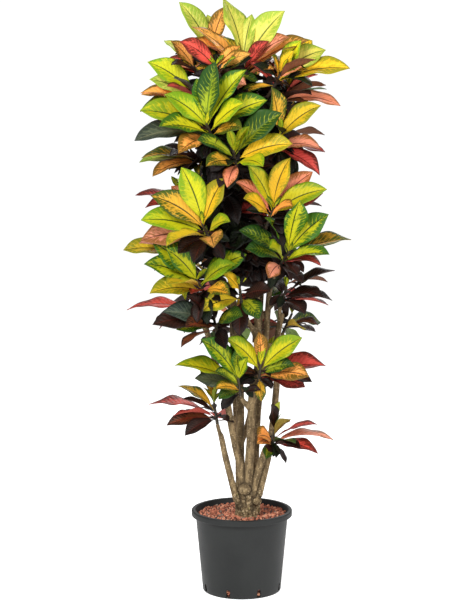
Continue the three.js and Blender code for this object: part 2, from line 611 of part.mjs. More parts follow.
// Leaves are settled one by one: the ones on show first, then the rest. Each takes the first of its
// yields that clears the wood, the other heads and the outer part of its own head's settled leaves.
function settle(head, leaf) {
  for (const yielding of YIELDS) {
    const whole = leafSolid(head, leaf, yielding, LEAF_CLEARANCE, 0);
    const outer = leafSolid(head, leaf, yielding, LEAF_CLEARANCE, 1);
    if (meets(whole, others(head)) || meets(outer, blades.filter(({ owner }) => owner === head))) continue;
    const settled = leafSolid(head, leaf, yielding, 0, 0);
    walls.push(barrier(settled, head));
    blades.push(barrier(leafSolid(head, leaf, yielding, 0, 1), head));
    head.solid = head.solid.add(settled);
    return;
  }
}

const queue = HEADS.flatMap((head, index) => leavesOf(head, index).map((leaf, i) => ({ head, leaf, i })));
const onShow = queue.filter(({ head, i }) => i < head.shown.length);
const further = queue.filter(({ head, i }) => i >= head.shown.length);
for (const { head, leaf } of [...onShow, ...further]) settle(head, leaf);

const plant = new THREE.Group();
plant.name = "potted_croton";
plant.add(meshOf("pot", makePot(), 0x424444, 0.75));
plant.add(meshOf("substrate", makeSubstrate(), 0x9c5644, 0.95));
plant.add(meshOf("trunk", wood, 0x8a7a5c, 0.9));
HEADS.forEach((head) => {
  const tone = head.shown.length ? head.shown[0][0] : "maroon";
  plant.add(meshOf(`head_${head.name}`, tidied(head.solid, HEAD_TOLERANCE), TONES[tone], 0.4));
});

export default plant;
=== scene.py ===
"""The looks of a potted croton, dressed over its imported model.

The model's frame is in metres: the origin is the centre of the pot's flat underside, +Z is up and the
front faces -Y. Plans and routes are written in millimetres, and MM turns them into metres.
"""

import logging
import math
from collections.abc import Iterator, Sequence
from dataclasses import dataclass
from enum import Enum
from functools import cache, cached_property

import bpy
import numpy as np
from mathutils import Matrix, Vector, noise
from mathutils.kdtree import KDTree


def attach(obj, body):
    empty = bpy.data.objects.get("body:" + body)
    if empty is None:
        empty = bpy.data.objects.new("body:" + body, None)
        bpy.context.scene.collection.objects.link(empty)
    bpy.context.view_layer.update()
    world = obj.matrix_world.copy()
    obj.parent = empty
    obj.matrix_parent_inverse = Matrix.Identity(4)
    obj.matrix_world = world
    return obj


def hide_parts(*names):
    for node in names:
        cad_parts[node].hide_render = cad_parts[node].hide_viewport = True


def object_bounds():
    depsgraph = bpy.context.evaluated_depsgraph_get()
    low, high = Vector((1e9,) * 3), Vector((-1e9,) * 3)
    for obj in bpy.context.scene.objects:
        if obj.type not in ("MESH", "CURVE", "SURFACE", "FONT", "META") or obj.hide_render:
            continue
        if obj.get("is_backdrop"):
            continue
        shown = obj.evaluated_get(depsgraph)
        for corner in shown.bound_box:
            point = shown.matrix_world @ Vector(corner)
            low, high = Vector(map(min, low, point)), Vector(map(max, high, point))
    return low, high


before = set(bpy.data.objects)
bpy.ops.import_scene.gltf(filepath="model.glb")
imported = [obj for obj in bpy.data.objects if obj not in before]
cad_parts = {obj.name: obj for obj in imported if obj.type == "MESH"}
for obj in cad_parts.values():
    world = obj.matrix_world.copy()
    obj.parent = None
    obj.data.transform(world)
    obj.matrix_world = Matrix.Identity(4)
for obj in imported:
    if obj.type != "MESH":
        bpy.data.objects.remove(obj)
CAD_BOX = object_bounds()
LOG = logging.getLogger("croton")
MM = 0.001
BODY = "root"

Colour = tuple[float, float, float, float]
Point = tuple[float, float, float]
Pair = tuple[float, float]
Socket = bpy.types.NodeSocket
Inputs = dict[str | int, object]


def rgb(red: int, green: int, blue: int) -> Colour:
    """Turns a display colour into the linear one that shaders use.

    Args:
        red, green, blue: Its channels from 0 to 255.

    Returns:
        The linear colour with full alpha.
    """
    def linear(value: int) -> float:
        """Gives one channel in linear light."""
        share = value / 255
        return share / 12.92 if share <= 0.04045 else ((share + 0.055) / 1.055) ** 2.4

    return linear(red), linear(green), linear(blue), 1.0


def unit(vector: np.ndarray) -> np.ndarray:
    """Gives vectors of length one along the last axis."""
    return vector / np.linalg.norm(vector, axis=-1, keepdims=True)


def heading(turn: float, rise: float = 0.0) -> np.ndarray:
    """Gives the direction that has a turn from +X and a rise, in radians."""
    return np.array([math.cos(rise) * math.cos(turn), math.cos(rise) * math.sin(turn), math.sin(rise)])


def circle(sides: int) -> np.ndarray:
    """Gives even turns round a circle, in radians."""
    return np.linspace(0, 2 * math.pi, sides, endpoint=False)


@dataclass(frozen=True)
class Tint:
    """The colours of one kind of leaf.

    Attributes:
        heart: Colour along the midrib, which runs out towards edge and tip.
        edge: Colour of the edge and tip, which breaks into flecks where it meets the heart.
        rib: Colour of the midrib and veins.
        under: Colour of the underside.
        spread: How far the edge's colour reaches in, from 0 to 1.
    """

    heart: Colour
    edge: Colour
    rib: Colour
    under: Colour
    spread: float


class Tone(Enum):
    """The kinds of leaf, from the youngest to the oldest, and two near-black ones, DEEP and NIGHT, that are
    painted shade for the plant's dark inside.
    """

    LIME = Tint(rgb(186, 182, 22), rgb(112, 142, 18), rgb(46, 66, 10), rgb(158, 164, 56), 0.5)
    PALE = Tint(rgb(190, 186, 82), rgb(128, 150, 46), rgb(70, 86, 24), rgb(196, 194, 104), 0.56)
    YELLOW = Tint(rgb(222, 182, 36), rgb(136, 134, 22), rgb(60, 62, 12), rgb(206, 166, 62), 0.44)
    OLIVE = Tint(rgb(214, 160, 46), rgb(60, 76, 16), rgb(38, 42, 10), rgb(166, 136, 62), 0.6)
    ORANGE = Tint(rgb(236, 156, 74), rgb(108, 82, 24), rgb(72, 46, 16), rgb(216, 134, 92), 0.5)
    GREEN = Tint(rgb(188, 188, 24), rgb(54, 96, 18), rgb(22, 46, 8), rgb(110, 134, 62), 0.58)
    CORAL = Tint(rgb(232, 144, 112), rgb(140, 86, 42), rgb(80, 32, 22), rgb(218, 136, 110), 0.46)
    RED = Tint(rgb(204, 76, 66), rgb(92, 32, 22), rgb(68, 20, 16), rgb(188, 84, 72), 0.54)
    DARK = Tint(rgb(152, 162, 30), rgb(34, 66, 18), rgb(74, 100, 22), rgb(88, 102, 66), 0.78)
    SLATE = Tint(rgb(76, 86, 68), rgb(42, 52, 44), rgb(96, 100, 80), rgb(98, 102, 90), 0.5)
    BROWN = Tint(rgb(104, 58, 30), rgb(42, 26, 17), rgb(124, 50, 36), rgb(98, 62, 42), 0.5)
    MAROON = Tint(rgb(44, 24, 18), rgb(25, 15, 11), rgb(70, 28, 22), rgb(58, 34, 27), 0.5)
    # Painted shade: DEEP and NIGHT are near black and stand for leaves deep in the plant's shade.
    DEEP = Tint(rgb(22, 32, 12), rgb(12, 18, 8), rgb(30, 40, 16), rgb(28, 36, 20), 0.6)
    NIGHT = Tint(rgb(24, 14, 11), rgb(15, 9, 8), rgb(36, 18, 14), rgb(28, 19, 15), 0.5)


LEAF_COLOURS = ("heart", "edge", "rib", "under")
OLD_TONES = (Tone.MAROON, Tone.DARK, Tone.RED, Tone.BROWN, Tone.MAROON, Tone.GREEN)
YOUNG_TONES = (Tone.ORANGE, Tone.GREEN, Tone.YELLOW, Tone.OLIVE, Tone.CORAL, Tone.LIME)
BUD_TONES = (Tone.LIME, Tone.GREEN, Tone.GREEN)
# These sets draw partly from DEEP and NIGHT, whose near-black colours are painted shade.
SHADE_TONES = (Tone.NIGHT, Tone.DEEP, Tone.NIGHT, Tone.DEEP, Tone.MAROON, Tone.NIGHT)
CREST_TONES = (Tone.ORANGE, Tone.OLIVE, Tone.NIGHT, Tone.CORAL, Tone.OLIVE, Tone.DEEP, Tone.RED)
HANGING_TONES = (Tone.MAROON, Tone.NIGHT, Tone.NIGHT, Tone.DEEP, Tone.MAROON)

Shown = tuple[str, float, float, float] | tuple[str, float, float, float, float]


@dataclass(frozen=True)
class StemPlan:
    """A stem's radii at its foot and top, and its route upwards, in millimetres."""

    foot: float
    top: float
    route: tuple[Point, ...]

    def radius(self, shares: float | np.ndarray) -> float | np.ndarray:
        """Gives the radius at shares of the route."""
        return self.foot + (self.top - self.foot) * shares


@dataclass(frozen=True)
class HeadPlan:
    """Where a leafy head is and which leaves it has, in millimetres.

    Attributes:
        name: The head's name, after head_ in its node.
        stem: The stem that its branch leaves.
        fork: Height at which the branch leaves the stem.
        crown: Tip of the head's shoot.
        more: Number of leaves beyond the shown ones.
        shown: Each leaf on show: its tone, its tip from the crown and, where it isn't the usual one, how far
            its upper face turns to the front.
        lean: Sideways part of the shoot's direction, where it isn't the usual one.
        loose: Leaves on show, in the same form, that the model leaves out.
        SHOOT: Length of every shoot.
        MIDDLE: The place that the shoots lean away from.
        FULL_LEAN_AT, MOST_LEAN: Distance from there at which a shoot leans most, and by how much.
    """

    name: str
    stem: str
    fork: float
    crown: Point
    more: int
    shown: tuple[Shown, ...] = ()
    lean: Pair | None = None
    loose: tuple[Shown, ...] = ()

    SHOOT = 70.0
    MIDDLE = (15.0, 0.0)
    FULL_LEAN_AT = 150.0
    MOST_LEAN = 0.75

    @cached_property
    def axis(self) -> np.ndarray:
        """The direction in which the shoot grows."""
        out = (np.array(self.crown[:2]) - self.MIDDLE) / self.FULL_LEAN_AT
        out = out / max(1.0, float(np.linalg.norm(out))) * self.MOST_LEAN
        return unit(np.array([*(self.lean or out), 1.0]))

    def below_tip(self, down: float) -> np.ndarray:
        """Gives the place on the shoot's middle line that is so far below its tip."""
        return np.array(self.crown) - self.axis * down


STEMS = {
    "far_left": StemPlan(12, 8.5, (
        (-4, -34, 262), (-17, -43, 306), (-30, -48, 352), (-44, -50, 408), (-57, -50, 465),
        (-66, -48, 510))),
    "left": StemPlan(13, 8, (
        (12, -36, 265), (2, -48, 350), (-5, -52, 412), (-18, -56, 465), (-35, -60, 553), (-45, -62, 611),
        (-76, -65, 720), (-96, -67, 790), (-118, -75, 880))),
    "middle": StemPlan(16, 7.5, (
        (5, 0, 262), (-4, 18, 340), (-6, 22, 450), (-6, 30, 625), (-18, 20, 800), (-34, 5, 1000),
        (-44, -18, 1180), (-62, -30, 1330), (-78, -30, 1470))),
    "front": StemPlan(15, 7, (
        (25, -40, 265), (20, -50, 350), (27, -55, 478), (30, -55, 575), (35, -50, 660), (50, -42, 722),
        (48, -34, 880), (46, -32, 960), (50, -36, 1100), (40, -32, 1250), (28, -26, 1400), (14, -20, 1540))),
    "right": StemPlan(12, 7, (
        (32, -8, 262), (42, 6, 380), (47, 15, 515), (58, 15, 650), (74, 6, 800), (82, 2, 900), (94, 8, 1050),
        (104, 8, 1200), (110, 2, 1350), (114, 4, 1480))),
    "low_right": StemPlan(13, 10, (
        (30, -38, 262), (38, -46, 335), (51, -52, 390), (65, -54, 435), (76, -54, 468))),
    "far_right": StemPlan(13, 9, (
        (42, -30, 262), (52, -38, 310), (72, -42, 395), (86, -36, 460), (98, -18, 540), (107, 0, 625),
        (113, 10, 722), (114, 14, 818), (126, 12, 885))),
    "back": StemPlan(12, 7, (
        (12, 8, 262), (-2, 45, 350), (-12, 72, 460), (-22, 90, 650), (-30, 94, 850), (-34, 90, 1050),
        (-40, 92, 1250), (-50, 96, 1420), (-55, 100, 1520))),
    "back_right": StemPlan(10, 7, (
        (-10, 68, 440), (20, 80, 520), (48, 88, 700), (60, 92, 900), (70, 96, 1100), (72, 100, 1300),
        (78, 108, 1450))),
}

HEADS = (
    HeadPlan("top", "front", 1530, (3, -20, 1661), 3, (
        ("pale", -62, 30, 203, 0.1), ("pale", 128, -15, 160), ("pale", 22, 45, 158),
        ("orange", -157, -20, 112, 0.4), ("orange", -150, -55, 72, 0.4), ("olive", -62, -50, 78),
        ("red", 80, 20, 65, 1.5), ("orange", 193, -60, 70, 0.7), ("coral", 153, -75, 56, 0.9),
        ("coral", -16, -80, -78, 1),
    ), loose=(
        ("red", 80, -62, 66, 1.6), ("pale", 28, 40, 154, 0.7),
        ("night", 95, 30, 20, 0.6), ("night", 80, 20, -50, 0.6),
    )),
    HeadPlan("top_back_left", "back", 1500, (-100, 75, 1703), 4, (
        ("pale", -96, 0, 152), ("orange", 49, -30, 137, 3.2), ("pale", -8, 45, 116),
    )),
    HeadPlan("top_left", "middle", 1460, (-158, 10, 1665), 3, (
        ("orange", -60, -40, 66, 1.3), ("pale", -85, 45, 70, -0.2), ("maroon", -57, -90, -8, 0.9),
        ("brown", 8, -35, 60),
    )),
    HeadPlan("top_left_young", "middle", 1440, (-82, -88, 1655), 3, (
        ("red", -105, -30, 70, 0.6), ("maroon", -40, -70, -50), ("green", 64, -50, 22, 0),
    ), loose=(("night", -70, 40, -30, 0.6), ("night", -40, 50, -70, 0.6))),
    HeadPlan("upper_left", "middle", 1380, (-153, -40, 1570), 2, (
        ("slate", -52, -95, 46), ("pale", -130, -10, 44, 0.7), ("orange", -156, -30, 2, 0.5),
        ("orange", -151, 20, 22), ("olive", -159, -20, -28), ("red", -72, -100, 22, 0.9),
        ("lime", -119, -10, 116),
    )),
    HeadPlan("upper_front_left", "middle", 1340, (-108, -150, 1480), 1, (
        ("dark", 17, -25, 189), ("green", 97, -10, 175, 0.5), ("green", -30, 40, 136),
        ("lime", -124, -30, 86, 0.5), ("lime", -198, -10, 39), ("green", -152, -70, -8),
        ("slate", -214, -25, -51), ("orange", -80, -90, -87), ("lime", 113, -75, 60, 1),
        ("olive", 108, -85, -14), ("green", 184, 20, 70),
    )),
    HeadPlan("upper_front", "front", 1240, (-26, -160, 1400), 1, (
        ("dark", 147, 0, 112), ("yellow", 177, -25, 20), ("lime", 88, -90, -45), ("coral", -18, -75, -108),
        ("olive", -80, -105, -44, 1), ("dark", -108, -70, 32), ("lime", 62, 20, 70), ("lime", -18, -10, 66),
    )),
    HeadPlan("upper_left_low", "middle", 1230, (-160, -20, 1400), 3, (
        ("olive", -147, -60, -25), ("orange", -115, -90, -56, 1), ("maroon", -60, -110, -38),
        ("pale", -159, 25, -41), ("maroon", -10, -110, -62), ("olive", 30, -90, -72),
    )),
    HeadPlan("mid_left", "middle", 1010, (-121, -150, 1178), 1, (
        ("lime", -62, -10, 172), ("olive", -154, -20, 86), ("lime", -184, -20, 13), ("coral", -187, 10, -52),
        ("yellow", -103, -110, -58), ("orange", 37, -140, -60, 1.2), ("yellow", 69, -25, 140),
        ("lime", 85, -70, 13, 0.7), ("coral", -88, 20, 132), ("maroon", -72, -45, -86, 0.8),
        ("maroon", -20, -70, -128),
    )),
    HeadPlan("mid_front_right", "front", 1060, (97, -140, 1226), 2, (
        ("coral", -119, -30, 81), ("lime", -104, 0, 124), ("yellow", -107, -80, 34),
        ("yellow", 48, -20, 152), ("lime", 158, -40, 58), ("orange", 51, -100, 12, 1.2),
        ("coral", 119, 40, 108), ("red", 150, 40, 42),
    )),
    HeadPlan("mid_right", "right", 940, (144, -110, 1092), 1, (
        ("green", 5, -70, 180), ("green", 119, -30, 115), ("dark", 49, 45, 114),
        ("green", -62, -40, 118, 0.5), ("olive", 190, 0, 35, 0.1), ("green", 119, -80, -3),
        ("dark", -154, -35, 66), ("dark", -134, -55, 12), ("lime", -62, -120, 20, 1),
        ("red", 94, -65, -38, 0.3), ("coral", -64, -80, -75),
    )),
    HeadPlan("low_mid_left", "left", 860, (-140, -130, 1008), 1, (
        ("green", -132, -20, 114), ("green", -90, -45, 98), ("green", -158, -20, 48),
        ("yellow", -114, -85, 20), ("yellow", -139, -56, -38), ("lime", 119, -40, 51), ("green", 140, 5, 94),
        ("olive", 104, -100, -36, 0.8), ("red", -14, -74, -36),
    )),
    HeadPlan("low_left", "left", 770, (-88, -112, 893), 3, lean=(-0.2, -0.6), shown=(
        ("slate", -152, -50, 18), ("maroon", -79, -70, 70, 0.9), ("maroon", -185, -40, -22),
        ("brown", -100, -90, -22, 0.7), ("brown", -98, -50, -90, -0.5), ("dark", 90, -95, 12, 1),
        ("night", 38, -80, -92, 1),
    )),
    HeadPlan("right", "far_right", 860, (140, -30, 975), 4, lean=(0.3, -0.35), shown=(
        ("maroon", 148, -20, 52, -0.1), ("maroon", 101, -92, 1, 0.5), ("maroon", 135, -50, -20, 0),
        ("red", 129, -15, -57, -0.1), ("maroon", 54, -90, -75, 0.6),
    )),
    HeadPlan("low_right", "far_right", 740, (160, 60, 880), 4, lean=(0.5, 0.5), shown=(
        ("maroon", 71, -75, -49, 0.7), ("brown", 78, -95, -26), ("yellow", 59, -105, -22, 0.5),
    )),
    HeadPlan("bottom_front", "front", 585, (-12, -112, 700), 1, (
        ("green", -86, -60, 150, 1), ("green", 30, -40, 72), ("green", -10, -30, 90),
        ("lime", -194, -5, 40, -0.1), ("dark", -70, -50, 30), ("slate", -142, 50, -20, 0.3),
        ("olive", -71, -50, -27, 0.7), ("dark", -60, -40, -60, 0.6), ("dark", 10, 60, 130),
    )),
    HeadPlan("bottom_right", "front", 600, (58, -106, 740), 1, lean=(0.1, -0.6), shown=(
        ("lime", -122, -40, 69, 0.9), ("orange", -7, -10, 104, 0.9), ("lime", 127, -15, 87),
        ("dark", 103, -40, 3, 0.4), ("orange", 146, -60, -27, 0.2), ("red", 201, 0, -8, 0),
        ("maroon", 159, 10, -55, 0), ("red", 139, -20, -53, 0.1), ("olive", 2, -25, -111, 0.25),
    )),
    HeadPlan("lowest_left", "far_left", 490, (-88, -42, 612), 1, lean=(-0.16, 0), shown=(
        ("red", -203, 0, -7, -0.2), ("maroon", -97, -40, 17, 0.35), ("red", -125, -60, -32, -0.15),
        ("brown", -142, -50, -69, 0.9), ("maroon", -99, -70, -90, 0.9), ("olive", -114, 25, 47),
        ("lime", 12, -20, 60), ("olive", -32, 35, 143, 0.9),
    )),
    HeadPlan("lowest_right", "low_right", 450, (104, -66, 532), 0, lean=(0.24, -0.14), shown=(
        ("orange", -58, -105, -26, 1.5), ("coral", 181, -20, -32, 0), ("red", 130, -35, 21, -0.15),
        ("olive", 47, -50, 40), ("dark", 60, -100, -25, 0.2), ("red", 131, -62, -66, 0.2),
        ("maroon", 75, -85, -63, 0), ("dark", -30, -75, -80, 1), ("maroon", -14, -40, 84, 1.2),
        ("lime", 28, -20, 90),
    ), loose=(("orange", -56, -114, -2, 1.6),)),
    HeadPlan("top_right", "front", 1490, (124, -60, 1640), 1, (
        ("yellow", 204, -20, 6, 0.5), ("pale", 120, 30, 83, 0.8), ("yellow", 102, 60, 118, 0.2),
        ("brown", 109, -60, 30, 0.1), ("olive", -34, -50, 44), ("yellow", 30, -50, 54),
        ("lime", 58, -10, 90), ("pale", 20, 50, 116),
    )),
    HeadPlan("top_right_low", "right", 1460, (140, 20, 1586), 3, (
        ("coral", -31, -80, 67, 0.9), ("red", 92, -60, 42, 0.4), ("brown", 112, -40, 30, 0.1),
        ("coral", 164, -30, -26, 0.8), ("maroon", 72, -105, -19), ("brown", 68, -70, -50, 0.5),
        ("dark", 126, 60, 0, 0),
    )),
    HeadPlan("upper_right", "right", 1310, (120, -50, 1448), 3, (
        ("yellow", 120, -40, 86), ("coral", 116, -75, -43), ("red", 135, -40, -33, 0.3),
        ("red", 118, -20, -126), ("olive", -31, -60, 141), ("brown", 84, 35, 110),
    )),
    HeadPlan("low_front", "front", 800, (-8, -110, 987), 1, (
        ("yellow", -115, -60, -52, 0.9), ("yellow", -58, -35, 54), ("maroon", -50, -60, -150),
        ("dark", 60, -90, -93), ("maroon", 95, -60, -12, 0.7), ("maroon", 40, 30, 60),
    )),
    HeadPlan("left", "middle", 1090, (-195, 30, 1268), 3, (
        ("red", -138, -10, -12, 0.2), ("red", -105, -55, -48),
    )),
    HeadPlan("inner", "front", 1000, (22, -60, 1120), 4, (
        ("olive", 8, -70, -28), ("maroon", -76, -70, -14), ("maroon", 70, -70, -70),
    )),
    HeadPlan("mid_left_low", "middle", 930, (-205, 0, 1105), 4, (
        ("yellow", -165, -15, -18), ("coral", -112, -75, 8),
    )),
    HeadPlan("left_low", "left", 760, (-180, 10, 930), 4, (
        ("red", -182, 0, -34, 0.15), ("slate", -90, -85, -66),
    )),
    HeadPlan("back_top", "back_right", 1430, (40, 150, 1610), 6),
    HeadPlan("back_top_left", "back", 1360, (-110, 165, 1500), 6),
    HeadPlan("back_top_right", "back_right", 1340, (135, 150, 1460), 6),
    HeadPlan("back_mid", "back", 1230, (10, 190, 1370), 6),
    HeadPlan("back_left", "back", 1130, (-130, 165, 1270), 6),
    HeadPlan("back_right_high", "back_right", 1110, (140, 140, 1235), 6),
    HeadPlan("back_low_mid", "back_right", 960, (25, 195, 1120), 7),
    HeadPlan("back_left_low", "back", 880, (-125, 150, 1020), 6),
    HeadPlan("back_right", "back_right", 850, (150, 130, 990), 6),
    HeadPlan("back_low", "back", 740, (-20, 180, 850), 6),
    HeadPlan("back_bottom", "back_right", 600, (85, 150, 720), 6),
)

KNOBS = ((10, -56, 338, 21), (46, -44, 298, 17), (-6, -36, 282, 16), (34, 10, 300, 18))
AS_PLANNED = (0, 0, 1)
YIELDS = (
    AS_PLANNED, (8, 0, 1), (-8, 0, 1), (0, 8, 1), (0, -8, 1), (14, 7, 0.96), (-14, 7, 0.96), (14, -8, 0.96),
    (-14, -8, 0.96), (0, 15, 0.94), (22, 0, 0.92), (-22, 0, 0.92), (0, -16, 0.92), (26, 12, 0.88),
    (-26, 12, 0.88), (28, -12, 0.86), (-28, -12, 0.86), (40, 5, 0.84), (-40, 5, 0.84), (0, 26, 0.8),
    (52, 10, 0.78), (-52, 10, 0.78), (12, 0, 0.66), (-12, 0, 0.66),
)


class Graph:
    """Adds and joins the nodes of one node tree."""

    def __init__(self, tree: bpy.types.NodeTree) -> None:
        """Keeps the tree that every node goes into."""
        self.tree = tree

    def set(self, socket: Socket, value: object) -> None:
        """Joins a socket to an output, or gives it a value.

        Args:
            socket: The input to fill.
            value: An output socket, or the plain value.
        """
        if isinstance(value, bpy.types.NodeSocket):
            self.tree.links.new(value, socket)
        else:
            socket.default_value = value

    def fill(self, node: bpy.types.Node, inputs: Inputs) -> None:
        """Fills a node's inputs, given by name or place, with values or outputs."""
        for key, value in inputs.items():
            self.set(node.inputs[key], value)

    def add(self, kind: str, inputs: Inputs | None = None, **settings: object) -> bpy.types.Node:
        """Adds a node.

        Args:
            kind: The node's type.
            inputs: Values or outputs for its inputs, by name or place.
            **settings: The node's own properties.

        Returns:
            The new node.
        """
        node = self.tree.nodes.new(kind)
        for name, value in settings.items():
            setattr(node, name, value)
        self.fill(node, inputs or {})
        return node

    def math(self, operation: str, *values: object) -> Socket:
        """Adds a Math node and gives its result."""
        return self.add("ShaderNodeMath", dict(enumerate(values)), operation=operation).outputs[0]

    def plus(self, first: object, second: object) -> Socket:
        """Gives the sum of two values."""
        return self.math("ADD", first, second)

    def minus(self, first: object, second: object) -> Socket:
        """Gives the first value less the second."""
        return self.math("SUBTRACT", first, second)

    def times(self, first: object, second: object) -> Socket:
        """Gives the product of two values."""
        return self.math("MULTIPLY", first, second)

    def step(self, value: object, low: object, high: object) -> Socket:
        """Gives 0 below low and 1 above high, with a smooth rise between them."""
        inputs = {"Value": value, "From Min": low, "From Max": high, "To Min": 0.0, "To Max": 1.0}
        return self.add("ShaderNodeMapRange", inputs, interpolation_type="SMOOTHSTEP").outputs[0]

    def fall(self, value: object, low: object, high: object) -> Socket:
        """Gives 1 below low and 0 above high, with a smooth fall between them."""
        return self.minus(1.0, self.step(value, low, high))

    def mix(self, share: object, first: object, second: object) -> Socket:
        """Mixes two colours by a share from 0 to 1."""
        inputs = {0: share, 6: first, 7: second}
        return self.add("ShaderNodeMix", inputs, data_type="RGBA", clamp_factor=True).outputs[2]

    def lay(self, tone: object, colour: object, mask: object, share: float) -> Socket:
        """Lays a share of a colour over a tone, where a mask lets it."""
        return self.mix(self.times(mask, share), tone, colour)

    def noise(self, place: object, scale: object, detail: float = 3.0) -> Socket:
        """Adds a noise texture and gives its value."""
        inputs = {"Vector": place, "Scale": scale, "Detail": detail}
        return self.add("ShaderNodeTexNoise", inputs).outputs["Fac"]

    def spots(self, place: object, scale: float, size: Pair) -> Socket:
        """Gives soft spots, 1 at their middle and 0 beyond their size, which is a share of their spacing."""
        cells = self.add("ShaderNodeTexVoronoi", {"Vector": place, "Scale": scale}, feature="F1")
        return self.fall(cells.outputs["Distance"], *size)

    def bump(self, height: object, strength: float, distance: float) -> Socket:
        """Adds a bump node and gives its normal."""
        inputs = {"Height": height, "Strength": strength, "Distance": distance}
        return self.add("ShaderNodeBump", inputs).outputs[0]

    def parts(self, vector: object) -> Sequence[Socket]:
        """Gives the three parts of a vector."""
        return self.add("ShaderNodeSeparateXYZ", {0: vector}).outputs

    def place(self) -> Socket:
        """Gives the place in the model's frame, in metres."""
        return self.add("ShaderNodeTexCoord").outputs["Object"]

    def attribute(self, name: str, output: str = "Fac") -> Socket:
        """Gives one attribute of the mesh."""
        return self.add("ShaderNodeAttribute", attribute_name=name).outputs[output]


def shader_group(name: str, inputs: Sequence[str], outputs: Sequence[str]) -> tuple:
    """Makes an empty shader node group with its sockets.

    Args:
        name: The group's name.
        inputs: Name of each input. The first is a vector, and the others are numbers.
        outputs: Name of each output, all numbers.

    Returns:
        The group's tree, its graph, the sockets of its inputs and its output node.
    """
    tree = bpy.data.node_groups.new(name, "ShaderNodeTree")
    for i, label in enumerate(inputs):
        kind = "NodeSocketFloat" if i else "NodeSocketVector"
        tree.interface.new_socket(label, in_out="INPUT", socket_type=kind)
    for label in outputs:
        tree.interface.new_socket(label, in_out="OUTPUT", socket_type="NodeSocketFloat")
    graph = Graph(tree)
    source = graph.add("NodeGroupInput")
    return tree, graph, [source.outputs[label] for label in inputs], graph.add("NodeGroupOutput")


@cache
def grain_group() -> bpy.types.NodeTree:
    """Makes the group that gives a surface its cloudy tone and its fine grain.

    Returns:
        A group with a place and two scales in, and a cloud mask and a grain height out.
    """
    tree, graph, (place, cloud_scale, grain_scale), target = shader_group(
        "surface_grain", ("Place", "Cloud Scale", "Grain Scale"), ("Cloud", "Grain"))
    cloud_detail, cloud_edge = 4.0, (0.35, 0.68)
    graph.fill(target, {
        "Cloud": graph.step(graph.noise(place, cloud_scale, cloud_detail), *cloud_edge),
        "Grain": graph.noise(place, grain_scale),
    })
    return tree


def grain_on(graph: Graph, place: Socket, cloud_scale: float, grain_scale: float) -> Sequence[Socket]:
    """Places the grain group in a material and gives its cloud mask and its grain's height."""
    inputs = {"Place": place, "Cloud Scale": cloud_scale, "Grain Scale": grain_scale}
    return graph.add("ShaderNodeGroup", inputs, node_tree=grain_group()).outputs


@cache
def vein_group() -> bpy.types.NodeTree:
    """Makes the group that draws a leaf's midrib, side veins and the flecked border of its two colours.

    Returns:
        A group that reads across, along and seed on the blade, and puts out masks and a height.
    """
    tree, graph, (blade, veins, slant, spread), target = shader_group(
        "leaf_veins", ("Blade", "Veins", "Slant", "Spread"), ("Rib", "Vein", "Edge", "Height"))
    across, along, seed = graph.parts(blade)
    off = graph.math("ABSOLUTE", across)

    vein_wander, vein_width, veins_end = 0.06, (0.02, 0.13), (0.74, 1.0)
    drift = graph.times(graph.minus(graph.noise(blade, 2.5, 2.0), 0.5), vein_wander)
    phase = graph.times(graph.plus(graph.minus(along, graph.times(off, slant)), drift), veins)
    swing = graph.math("ABSOLUTE", graph.minus(graph.math("FRACT", phase), 0.5))
    inner = graph.fall(off, *veins_end)
    vein = graph.times(graph.fall(swing, *vein_width), inner)

    rib_width, rib_taper, rib_core = 0.12, 0.06, 0.3
    narrow = graph.minus(rib_width, graph.times(along, rib_taper))
    rib = graph.fall(off, graph.times(narrow, rib_core), narrow)

    def cloud(length: float, width: float, detail: float) -> Socket:
        """Gives noise about zero, stretched along and across the veins."""
        parts = {0: graph.times(phase, length), 1: graph.times(across, width), 2: graph.times(seed, 91.0)}
        place = graph.add("ShaderNodeCombineXYZ", parts).outputs[0]
        return graph.minus(graph.noise(place, 1.0, detail), 0.5)

    tip_from, usual_spread = 0.3, 0.5
    level = graph.times(graph.math("POWER", off, 1.6), 0.5)
    for part, weight in (
            (graph.math("MAXIMUM", graph.minus(along, tip_from), 0.0), 0.6), (cloud(0.2, 1.3, 1.0), 0.9),
            (cloud(0.9, 3.2, 3.0), 0.7), (vein, -0.3), (graph.minus(spread, usual_spread), 0.9)):
        level = graph.plus(level, graph.times(part, weight))
    fleck_weight, fleck_edge, soft_edge, soft_share = 0.9, (0.3, 0.5), (0.1, 0.6), 0.5
    flecks = graph.step(graph.plus(level, graph.times(cloud(1.6, 7.0, 3.0), fleck_weight)), *fleck_edge)
    soft = graph.times(graph.step(level, *soft_edge), soft_share)

    quilt_power, quilt_height, rib_height = 0.7, 1.5, -0.6
    quilt = graph.times(graph.math("POWER", swing, quilt_power), inner)
    graph.fill(target, {
        "Rib": rib, "Vein": vein, "Edge": graph.plus(soft, graph.times(flecks, 1 - soft_share)),
        "Height": graph.plus(graph.times(quilt, quilt_height), graph.times(rib, rib_height)),
    })
    return tree


@dataclass(frozen=True)
class Finish:
    """A surface finish, known by its material's name and made when it is first asked for."""

    name: str

    @cached_property
    def material(self) -> bpy.types.Material:
        """The finish's material."""
        made = bpy.data.materials.new(self.name)
        made.use_nodes = True
        graph = Graph(made.node_tree)
        graph.fill(made.node_tree.nodes["Principled BSDF"], self.paint(graph))
        return made

    def paint(self, graph: Graph) -> dict[str, object]:
        """Makes the finish's nodes; each finish has its own."""
        raise NotImplementedError


